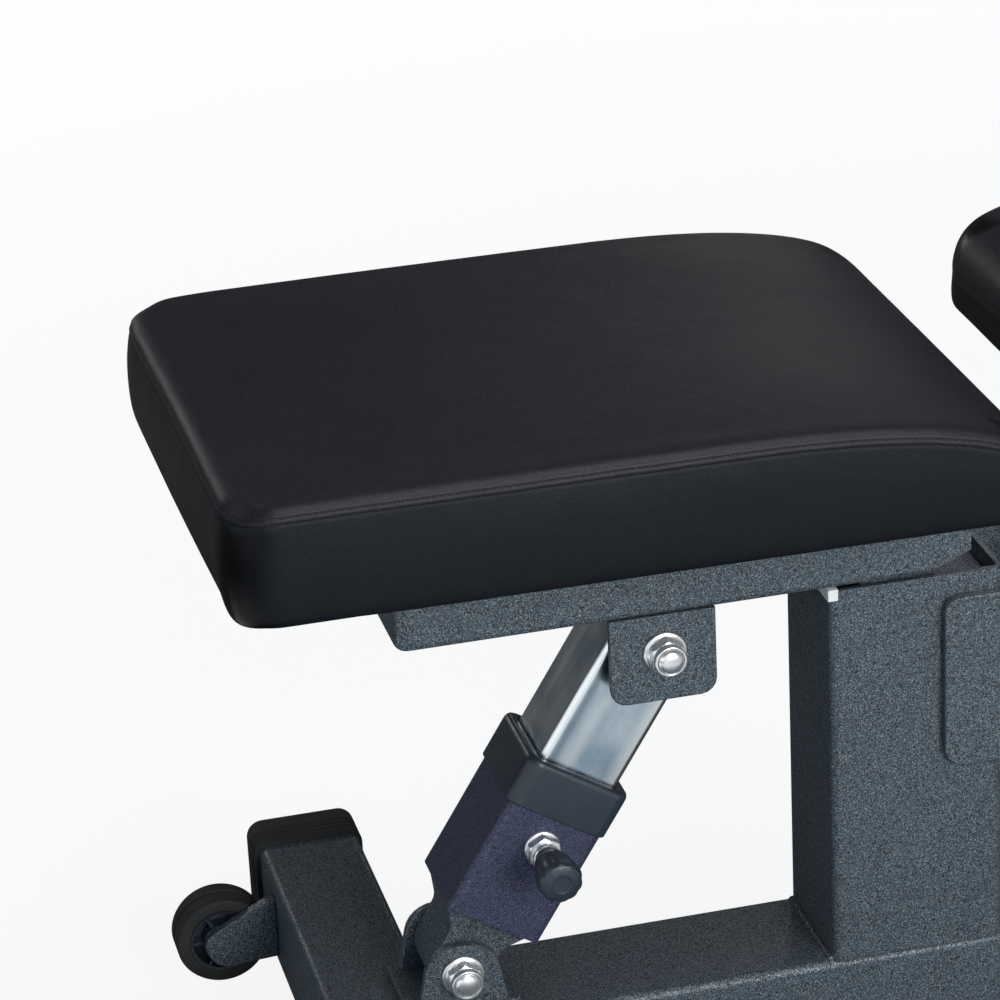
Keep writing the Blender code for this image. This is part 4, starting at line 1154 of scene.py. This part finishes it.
# %% [markdown]
# ## Fasteners
# The bright nut on the bracket is a flange nut with a locking collar: a washer face pressed into
# its foot, a hexagon with chamfered corners, a round rolled rim and the domed end of the bolt
# inside it. A CAD cylinder with eighteen sides would show its corners here, so round pieces are
# spun again with seventy-two. Where a hexagon meets a cone, the surface is whichever of the two
# is further out, or further in, at each angle, and that gives the real curved chamfers.

# %% Spin a profile round an axis
def spun(name, levels, at, face=0.0, out=1.0, count=72, axis="Y", ends="fans"):
    """A closed round piece. A level is a radius, or a function of the angle, and a distance out
    from the face, both in millimetres."""
    rings = []
    for radius, off in levels:
        ring, w = [], face + out * off * MM
        for a in turns(count):
            r = (radius(a) if callable(radius) else radius) * MM
            u, v = at[0] + r * math.cos(a), at[1] + r * math.sin(a)
            ring.append((u, w, v) if axis == "Y" else (u, v, w))
        rings.append(ring)
    return lofted(name, rings, ends)


def hexagon(across):
    """Radius of a hexagon at an angle, from its width across the flats."""
    return lambda a: across / 2 / math.cos((a + math.pi / 6) % (math.pi / 3) - math.pi / 6)


def meeting(choose, shape, radius):
    """Where a shape meets a cone: the larger or the smaller radius at each angle."""
    return lambda a: choose(shape(a), radius)


# %% Levels of a flanged hexagon
def flanged_hexagon(across, flange, top):
    """From the joint outwards: washer face, sloping skirt, hexagon and its chamfer."""
    k = across / 18.0
    flats = hexagon(across)
    corner, tip = across / math.sqrt(3), across * 0.485
    levels = [(flange - 0.3, 0.0), (flange, 0.3 * k), (flange, k), (flange - 0.25, 1.35 * k)]
    for t in (0.0, 0.2, 0.4, 0.6, 0.8, 1.0):
        skirt = flange - 0.6 - t * (flange - 0.6 - across / 2)
        levels.append((meeting(max, flats, skirt), (1.5 + 1.5 * t ** 1.6) * k))
    for t in (0.0, 0.25, 0.5, 0.75, 1.0):
        levels.append((meeting(min, flats, corner * (1 - t) + tip * t),
                       top - (corner - tip) * 0.6 * (1 - t)))
    return levels


# %% Nuts and bolts
def length_of(node):
    """A node's length along Y in millimetres."""
    low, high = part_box(node)
    return (high[1] - low[1]) / MM


def spun_piece(node, suffix, levels, material, slot, face=None, out=-1.0, **settings):
    """Spins a piece in a node's place. Its levels are measured from the node's +Y face, or else
    from the given one."""
    if face is None:
        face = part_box(node)[1][1]
    piece = spun(node + suffix, levels, centre_of(node), face, out, **settings)
    return show(piece, material, slot, node)


def locking_nut(node, across, flange):
    """Flange nut whose round rolled rim holds a locking ring. It stands on its -Y side."""
    tall, k = length_of(node), across / 18.0
    levels = flanged_hexagon(across, flange, tall * 0.66)
    levels += [(radius * k, tall * share) for radius, share in (
        (8.95, 0.68), (8.95, 0.93), (8.86, 0.965), (8.62, 0.99), (8.30, 1.0), (7.70, 1.0),
        (7.48, 0.985), (7.40, 0.94), (7.40, 0.86), (6.2, 0.80), (6.2, 0.0))]
    return spun_piece(node, "_plated", levels, ZINC_PART, "zinc_plate", ends="joined")


def flange_bolt(node, across, flange, head, shank):
    """Hexagon flange bolt with its head on the +Y side and a domed end inside its nut's rim."""
    reach, k = length_of(node) - head, across / 18.0
    levels = [(radius * k, off * k - reach) for radius, off in (
        (0.6, -0.9), (2.4, -0.75), (4.4, -0.35), (6.0, 0.35), (6.9, 1.3), (7.15, 2.0),
        (7.15, 2.6))]
    levels += [(shank, 3.0 * k - reach), (shank, 0.0)]
    levels += flanged_hexagon(across, flange, head)
    levels += [(across * 0.40, head), (across * 0.37, head - 0.35), (across * 0.1, head - 0.40)]
    return spun_piece(node, "_plated", levels, ZINC_PART, "zinc_plate",
                      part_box(node)[1][1] - head * MM, 1.0)


for word, across, flange, head, shank in (
        ("strut_top", 18.0, 12.0, 8.5, 5.9), ("seat_hinge", 18.0, 12.0, 8.5, 5.9),
        ("strut_foot", 18.0, 12.0, 8.5, 5.9), ("back_hinge", 24.0, 15.5, 10.5, 7.9)):
    locking_nut(word + "_nut", across, flange)
    flange_bolt(word + "_bolt", across, flange, head, shank)
show(softened("seat_hinge_sleeve", "_plated", PLATE_EDGE), ZINC_PART, "zinc_plate",
     "seat_hinge_sleeve")
print("nuts and bolts: 4 pairs")


# %% [markdown]
# ## Pad bolts
# Four small bolts hold each pad. They are all the same, so one head with its washer is spun once
# and the second tree sets it on a point for each bolt.

# %% Pad bolts
def pad_bolt():
    """M8 bolt, head down, with a washer. Its origin is the underside of the mounting plate."""
    flats = hexagon(13.0)
    levels = [(4.6, -6.0)]
    levels += [(meeting(min, flats, 6.3 + 1.2 * t), -6.0 + 0.8 * t) for t in (0, 0.5, 1)]
    levels += [(flats, -1.7), (8.6, -1.6), (8.8, -1.4), (8.8, -0.3), (8.6, -0.1), (4.0, -0.1),
               (4.0, 16.5)]
    return loose(spun("pad_bolt", levels, (0.0, 0.0), axis="Z", count=36))


PAD_BOLT = pad_bolt()
for word in ("seat", "back"):
    nodes = [f"{word}_bolt_{end}_{side}" for end in ("front", "rear") for side in ("left", "right")]
    heads = []
    for node in nodes:
        low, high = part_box(node)
        heads.append(((low[0] + high[0]) / 2, (low[1] + high[1]) / 2, low[2] + 5.5 * MM))
    name = word + "_pad_bolts"
    bolts = baked(name, mesh_from(name, heads, []), POINT_TREE,
                  **{"Shape": PAD_BOLT, "Turn Range": 1.0, "Material": ZINC_PART})
    bolts.data.set_sharp_from_angle(angle=SMOOTH_ANGLE)
    show(bolts, None, "zinc_plate", *nodes)


# %% [markdown]
# ## Pull pins
# A pull pin is a plated housing screwed to the tube and a plastic knob on a steel plunger. The
# knob's flutes come from a radius that waves with the angle.

# %% Housings and knobs
def pin_housing(node, flange, across, neck, bore):
    tall, flats = length_of(node), hexagon(across)
    levels = [(bore, 0.0), (flange - 0.4, 0.0), (flange, 0.4), (flange, tall * 0.19),
              (flange - 0.5, tall * 0.22)]
    for wide, step, low, rise in ((0.53, 0.05, 0.23, 0.04), (0.58, -0.06, 0.60, 0.05)):
        levels += [(meeting(min, flats, across * (wide + step * t)), tall * (low + rise * t))
                   for t in (0, 0.5, 1)]
    levels += [(neck, tall * 0.66), (neck, tall * 0.96), (neck - 0.5, tall), (bore, tall)]
    return spun_piece(node, "_plated", levels, ZINC_PART, "zinc_plate", ends="joined")


def fluted(radius, depth=0.05, flutes=10):
    return lambda a: radius * (1.0 - depth * (0.5 + 0.5 * math.cos(flutes * a)) ** 2)


def pull_knob(node, plunger, grip, wide):
    """Knob and plunger. The grip's length is measured back from the outer end."""
    reach = length_of(node)
    neck = reach - grip
    levels = [(plunger - 0.5, 0.0), (plunger, 0.6), (plunger, neck - 0.2), (wide * 0.66, neck),
              (wide * 0.74, neck + 0.5), (wide * 0.78, neck + 2.0)]
    levels += [(fluted(wide * share, depth), neck + grip * off) for share, depth, off in (
        (0.84, 0.02, 0.22), (0.93, 0.05, 0.42), (1.0, 0.05, 0.66), (1.0, 0.05, 0.80),
        (0.96, 0.05, 0.89), (0.88, 0.03, 0.95))]
    levels += [(wide * 0.70, neck + grip * 0.985), (wide * 0.45, reach),
               (wide * 0.40, reach - 0.5), (0.2, reach - 0.6)]
    return spun_piece(node, "_moulded", levels, PLASTIC, "black_plastic", count=80)


pin_housing("strut_pin_housing", 10.0, 17.0, 7.5, 4.4)
pin_housing("back_pin_housing", 12.5, 21.0, 9.0, 5.4)
pull_knob("strut_pin_knob", 4.0, 24.5, 12.5)
pull_knob("back_pin_knob", 5.0, 32.5, 16.0)
print("pull pins: 2")


# %% [markdown]
# ## Lofted pieces
# A moulded collar closes the mouth of the outer tube and guides the inner one. Its corners are
# broad and soft, and in the picture they catch a long highlight. It is lofted from rounded
# squares along the strut's own axis. The seat beam's ground end is lofted from rectangles too,
# and so are the feet: rubber cups over the tube ends, with three grooves round them.

# %% Rounded sections
def rounded_rectangle(width, height, radius, steps=10):
    points = []
    for k, (sx, sy) in enumerate(((1, 1), (-1, 1), (-1, -1), (1, -1))):
        for i in range(steps + 1):
            a = math.pi / 2 * (k + i / steps)
            points.append((sx * (width / 2 - radius) + radius * math.cos(a),
                           sy * (height / 2 - radius) + radius * math.sin(a)))
    return points


# %% The beam's ground end
def rounded_end(low, high, depth):
    """A short block, well rounded at its upright edges. It is a hair smaller than the beam,
    whose end dives into it."""
    round_off, drop, skin, corner, steps = 6.5 * MM, 2.5 * MM, 0.04 * MM, 4.0 * MM, 8
    middle = (low[2] + high[2]) / 2
    levels = [(low[0] + round_off * (1 - math.cos(math.pi / 2 * k / steps)),
               1 - math.sin(math.pi / 2 * k / steps)) for k in range(steps + 1)]
    rings = []
    for x, share in levels + [(low[0] + depth, 0.0)]:
        section = rounded_rectangle(high[1] - low[1] - 2 * (skin + round_off * share),
                                    high[2] - low[2] - 2 * (skin + drop * share), corner, steps=4)
        rings.append([(x, u, middle + v) for u, v in section])
    return lofted("seat_beam_end_coated", rings, "flat")


show(rounded_end(*END_PLATE, END_DEPTH), HAMMERTONE, "hammertone_coat", "seat_beam_end")

# %% Collar
# Side, corner radius and distance from the strut's foot, in millimetres.
COLLAR = ((65.0, 9.0, 106.0), (65.0, 9.0, 129.4), (64.7, 8.85, 130.9), (63.9, 8.5, 132.1),
          (62.6, 7.8, 133.0), (60.8, 7.0, 133.5), (53.2, 5.0, 133.5), (51.8, 4.6, 133.1),
          (50.6, 4.3, 132.0), (50.6, 4.3, 125.4), (60.5, 5.3, 125.4), (60.5, 5.3, 105.5),
          (64.2, 8.6, 105.5))
rings = [[FOOT + ACROSS * u + Vector((0.0, v, 0.0)) + ALONG * off * MM
          for u, v in rounded_rectangle(side * MM, side * MM, radius * MM)]
         for side, radius, off in COLLAR]
collar = show(lofted("strut_collar_moulded", rings, "joined"), PLASTIC, "black_plastic",
              "strut_collar")
print("collar faces:", len(collar.data.polygons))

# %% Feet and beam cap
# Distance inside the outline, and from the mouth outwards, in millimetres.
CUP_CORNER = 10.0
CUP = [(0.7, 0.0), (0.2, 0.3), (0.0, 0.9)]
for groove in (5.0, 9.5, 14.0):
    CUP += [(0.0, groove), (0.5, groove + 0.3), (0.9, groove + 0.9), (0.9, groove + 1.3),
            (0.5, groove + 1.9), (0.0, groove + 2.2)]
CUP += [(0.0, 27.0), (0.1, 28.2), (0.5, 29.4), (1.3, 30.5), (2.7, 31.4), (5.0, 32.0)]


def foot(node):
    low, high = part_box(node)
    side = 1.0 if low[1] > 0 else -1.0
    mouth = low[1] if side > 0 else high[1]
    x, z = centre_of(node)
    rings = []
    for inset, off in CUP:
        section = rounded_rectangle(high[0] - low[0] - 2 * inset * MM,
                                    high[2] - low[2] - 2 * inset * MM, (CUP_CORNER - inset) * MM)
        rings.append([(x + u, mouth + side * off * MM, z + v) for u, v in section])
    return show(lofted(node + "_moulded", rings, "flat"), RUBBER, "black_rubber", node)


for node in ("front_foot_left", "front_foot_right", "rear_foot_left", "rear_foot_right"):
    foot(node)
show(softened("back_beam_cap", "_moulded", 0.5 * MM), PLASTIC, "black_plastic", "back_beam_cap")


# %% [markdown]
# ## Wheels and handle
# The wheels have a soft tyre on a plastic hub and turn on the bracket's stub. The handle is a
# bent bar, swept round with fine steps.

# %% Wheels
def mirrored(levels):
    return levels + [(radius, -off) for radius, off in reversed(levels)]


def wheel(node):
    low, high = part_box(node)
    middle = (low[1] + high[1]) / 2
    half = length_of(node) / 2
    side = 1.0 if middle > 0 else -1.0
    edge = (high[2] - centre_of(node)[1]) / MM
    tread = mirrored([(19.4, 1.2 - half), (20.5, -half), (edge - 2.6, -half),
                      (edge - 0.9, 0.9 - half), (edge, 3.0 - half), (edge, -1.4),
                      (edge - 0.9, -0.9)])
    spun_piece(node, "_tyre", tread, RUBBER, "black_rubber", middle, side, ends="joined")
    rim = mirrored([(6.4, -half), (10.4, -half), (11.0, 0.6 - half), (11.6, -3.0), (17.4, -2.6),
                    (18.2, 1.0 - half), (19.3, 0.8 - half)])
    hub = spun(node + "_hub", rim, centre_of(node), middle, side, ends="joined")
    add_spokes(hub, centre_of(node), middle, (half - 1.6) * MM)
    show(hub, PLASTIC, "black_plastic", body=body_named(node))


def add_spokes(hub, at, middle, half):
    """Adds six flat spokes between the hub's boss and its rim."""
    with opened(hub.data) as shape:
        for a in turns(6):
            run, side = (math.cos(a), math.sin(a)), (-math.sin(a), math.cos(a))
            corners = [shape.verts.new((at[0] + (run[0] * r + side[0] * w) * MM, middle + depth,
                                        at[1] + (run[1] * r + side[1] * w) * MM))
                       for r, w in ((10.9, -1.0), (17.9, -0.8), (17.9, 0.8), (10.9, 1.0))
                       for depth in (-half, half)]
            for quad in ((0, 2, 3, 1), (2, 4, 5, 3), (4, 6, 7, 5), (6, 0, 1, 7), (0, 6, 4, 2),
                         (1, 3, 5, 7)):
                shape.faces.new([corners[i] for i in quad])
        bmesh.ops.recalc_face_normals(shape, faces=shape.faces)
    hub.data.set_sharp_from_angle(angle=SMOOTH_ANGLE)


for node in ("wheel_left", "wheel_right"):
    wheel(node)


# %% Handle
def bent_bar(node, bend=25.0 * MM, start=12.0 * MM, count=28):
    low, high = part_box(node)
    radius = (high[2] - low[2]) / 2
    z = (high[2] + low[2]) / 2
    x_end, half = high[0] - radius, high[1] - radius
    path = [Vector((low[0], -half, z)), Vector((low[0] + start, -half, z))]
    for k in range(17):
        a = math.radians(-90 + 90 * k / 16)
        path.append(Vector((x_end - bend + bend * math.cos(a),
                            -half + bend + bend * math.sin(a), z)))
    path += [Vector((p.x, -p.y, p.z)) for p in reversed(path)]
    up = Vector((0.0, 0.0, 1.0))
    rings = []
    for i, p in enumerate(path):
        run = (path[min(i + 1, len(path) - 1)] - path[max(i - 1, 0)]).normalized()
        side = up.cross(run)
        rings.append([p + side * radius * math.cos(a) + up * radius * math.sin(a)
                      for a in turns(count)])
    return show(lofted(node + "_plated", rings, "flat"), ZINC_PART, "zinc_plate", node)


bent_bar("rear_handle")
print("feet: 4, wheels: 2, handle: 1")

# %% [markdown]
# ## Welds
# Where plates and tubes meet, a weld runs along the joint under the paint: a row of small
# overlapping ripples. The tree that set the stitches sets these too, with a flatter shape, a
# shorter step and a little unevenness.

# %% Weld beads
RIPPLE = bead("weld_ripple", 4.6, 7.0, 4.4, count=7, rings=5, power=0.5)


def line(start, end):
    return ([Vector(start), Vector(end)], False)


def ring_path(centre, radius):
    return ([Vector(centre) + Vector((0.0, radius * math.cos(a), radius * math.sin(a)))
             for a in turns(24)], True)


POST, RAIL, GUSSET, CLEVIS, BAR = [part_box(node) for node in (
    "main_post", "base_rail", "post_gusset", "strut_clevis", "rear_handle")]
TOP = RAIL[1][2]
HALF_WELD = 35 * MM
frame_welds = []
for x in (POST[0][0], POST[1][0]):
    frame_welds.append(line((x, -HALF_WELD, TOP), (x, HALF_WELD, TOP)))
for y in (-3.2 * MM, 3.2 * MM):
    frame_welds.append(line((POST[1][0] + 4 * MM, y, TOP), (GUSSET[1][0] - 4 * MM, y, TOP)))
    frame_welds.append(line((POST[1][0], y, TOP + 6 * MM), (POST[1][0], y, GUSSET[1][2] - 4 * MM)))
for y in (CLEVIS[0][1], CLEVIS[1][1]):
    frame_welds.append(line((CLEVIS[0][0] + 6 * MM, y, TOP), (CLEVIS[1][0] - 6 * MM, y, TOP)))
for x in (RAIL[0][0], RAIL[1][0]):
    frame_welds.append(line((x, -HALF_WELD, TOP - 0.4 * MM), (x, HALF_WELD, TOP - 0.4 * MM)))
    for y in (-40 * MM, 40 * MM):
        frame_welds.append(line((x, y, 16 * MM), (x, y, TOP - 6 * MM)))
for y in (BAR[0][1] + 9 * MM, BAR[1][1] - 9 * MM):
    frame_welds.append(ring_path((BAR[0][0] + 0.4 * MM, y, (BAR[0][2] + BAR[1][2]) / 2), 9.2 * MM))
back_welds = [line((-0.132, y, 0.3018), (-0.026, y, 0.3018)) for y in (-0.0372, -0.0288)]
for body, welds in (("frame", frame_welds), ("back", back_welds)):
    beads = along_paths(body + "_welds", welds, RIPPLE, 2.4 * MM, HAMMERTONE, unevenness=0.14)
    show(beads, None, "hammertone_coat", body=body)


# %% [markdown]
# ## Floor and light
# The floor is a wide pale plane. Seen by the camera it is mostly its own white light, and partly
# lit by the lamps, so the bench keeps a soft shadow under it. Further off it fades to plain white.
#
# Black vinyl and bare metal show whatever stands round them, and a product picture is made with
# pale cards out of its sight. Here glossy rays find such cards in the floor and the world: one in
# front, which gives the pad's side its sheen and ends before the pad's right half, and one to the
# left, which draws the bright line down the strut's corner. Between the two cards the floor stays
# dark, so the pad's near corner is black. Behind the bench there is a dim, slightly warm room.
# A large lamp stands in front, another overhead, and two small ones at the back catch edges.

# %% Rays that see the studio directly
WHITE = (1.0, 1.0, 1.0, 1.0)
CARD_COLOUR = (0.93, 0.97, 1.0)
ROOM_COLOUR = (1.0, 0.86, 0.78)
FRONT_CARD = 0.92
LEFT_CARD = 1.2
DIM_FLOOR = 0.06
FAR_FLOOR = 0.13
DIM_ROOM = 0.06
AMBIENT = 0.22


def glossy_share(tree, rays):
    """1 for glossy and transmission rays, and 0 for the rest."""
    return wired(tree, "ShaderNodeMath", {0: rays["Is Glossy Ray"], 1: rays["Is Transmission Ray"]},
                 operation="ADD", use_clamp=True)


def slope(tree, value, start, end, first, last):
    """A strength that turns smoothly from the first to the last while the value runs on."""
    return ranged(tree, value, first, last, start, end, "SMOOTHSTEP")


def three_parts(tree, vector):
    return wired(tree, "ShaderNodeSeparateXYZ", {0: vector}, None).outputs


def mixed_shader(tree, share, first, second):
    return wired(tree, "ShaderNodeMixShader", {0: share, 1: first, 2: second})


# %% Floor
def build_floor(reach=9.0):
    floor = object_from("floor", [(-reach, -reach, 0.0), (reach, -reach, 0.0),
                                  (reach, reach, 0.0), (-reach, reach, 0.0)], [(0, 1, 2, 3)])
    material, tree, shader, vector = new_material("pale_floor")
    feed(tree, shader, {"Base Color": (0.72, 0.80, 0.87, 1.0), "Roughness": 0.9,
                        "Specular IOR Level": 0.0})
    rays = wired(tree, "ShaderNodeLightPath", give=None).outputs
    away = wired(tree, "ShaderNodeVectorMath", {0: vector}, "Value", operation="LENGTH")
    own_light = joined(tree, "MULTIPLY", rays["Is Camera Ray"],
                       slope(tree, away, 0.7, 2.6, 0.90, 1.0))
    white = wired(tree, "ShaderNodeEmission", {"Color": WHITE, "Strength": 1.0})
    seen = mixed_shader(tree, own_light, shader.outputs[0], white)
    x, y, _ = three_parts(tree, vector)
    right_end = joined(tree, "MAXIMUM", slope(tree, x, -0.42, -0.15, 1.0, 0.08),
                       slope(tree, y, -0.85, -0.68, 0.0, 1.0))
    front = joined(tree, "MULTIPLY", slope(tree, y, -0.50, -0.25, FRONT_CARD, 0.0),
                   slope(tree, x, -1.00, -0.75, 0.0, 1.0), right_end)
    left = joined(tree, "MULTIPLY", slope(tree, x, -1.40, -1.20, 0.0, LEFT_CARD),
                  slope(tree, x, -0.85, -0.70, 1.0, 0.0), slope(tree, y, -0.75, -0.60, 0.0, 1.0),
                  slope(tree, y, 0.05, 0.25, 1.0, 0.0))
    behind = joined(tree, "MULTIPLY", slope(tree, x, -0.82, -0.72, 0.18, 0.0),
                    slope(tree, y, 0.68, 0.84, 0.0, 1.0))
    strength = joined(tree, "MAXIMUM", front, left, behind,
                      slope(tree, y, 0.65, 0.95, DIM_FLOOR, FAR_FLOOR),
                      slope(tree, y, -1.6, -1.3, FRONT_CARD, 0.0))
    card = wired(tree, "ShaderNodeEmission", {"Color": (*CARD_COLOUR, 1.0), "Strength": strength})
    feed(tree, tree.nodes["Material Output"],
         {"Surface": mixed_shader(tree, glossy_share(tree, rays), seen, card)})
    floor.data.materials.append(material)


build_floor()


# %% World
def build_world():
    world = bpy.data.worlds.new("studio")
    world.use_nodes = True
    tree = world.node_tree
    base = tree.nodes["Background"]
    feed(tree, base, {"Color": (0.62, 0.88, 1.0, 1.0), "Strength": AMBIENT})
    around = wired(tree, "ShaderNodeTexCoord", give="Generated")
    x, y, z = three_parts(tree, around)
    front = joined(tree, "MULTIPLY", slope(tree, y, -0.5, 0.3, FRONT_CARD, 0.0),
                   slope(tree, x, -0.6, -0.1, 0.0, 1.0), slope(tree, x, 0.2, 0.6, 1.0, 0.4))
    left = joined(tree, "MULTIPLY", slope(tree, x, -0.45, -0.25, LEFT_CARD, 0.0),
                  slope(tree, y, 0.15, 0.35, 1.0, 0.0), slope(tree, z, 0.38, 0.50, 1.0, 0.0))
    strength = joined(tree, "MAXIMUM", front, left, DIM_ROOM)
    tint = mixed_colour(tree, strength, ROOM_COLOUR, CARD_COLOUR)
    room = wired(tree, "ShaderNodeBackground", {"Color": tint, "Strength": strength})
    rays = wired(tree, "ShaderNodeLightPath", give=None).outputs
    mirrored_room = mixed_shader(tree, glossy_share(tree, rays), base.outputs[0], room)
    white = wired(tree, "ShaderNodeBackground", {"Color": WHITE, "Strength": 1.0})
    seen = mixed_shader(tree, rays["Is Camera Ray"], mirrored_room, white)
    feed(tree, tree.nodes["World Output"], {"Surface": seen})
    SCENE.world = world


build_world()

# %% Lamps
AIM = Vector((-0.30, 0.0, 0.30))


def add_lamp(name, place, width, height, energy):
    data = bpy.data.lights.new(name, "AREA")
    data.shape = "RECTANGLE"
    data.size = width
    data.size_y = height
    data.energy = energy
    lamp = linked(name, data)
    lamp.location = place
    lamp.rotation_euler = (AIM - Vector(place)).to_track_quat("-Z", "Y").to_euler()


add_lamp("key", (0.6, -3.7, 1.60), 1.8, 1.8, 104.0)
add_lamp("overhead", (0.2, -0.9, 3.4), 1.6, 1.6, 52.0)
add_lamp("back_strip", (0.80, 2.95, 1.30), 0.18, 0.7, 2.2)
add_lamp("back_left", (-1.60, 2.70, 1.40), 0.8, 0.35, 8.5)
print("lamps ready")

# %% Finish
bpy.context.view_layer.update()
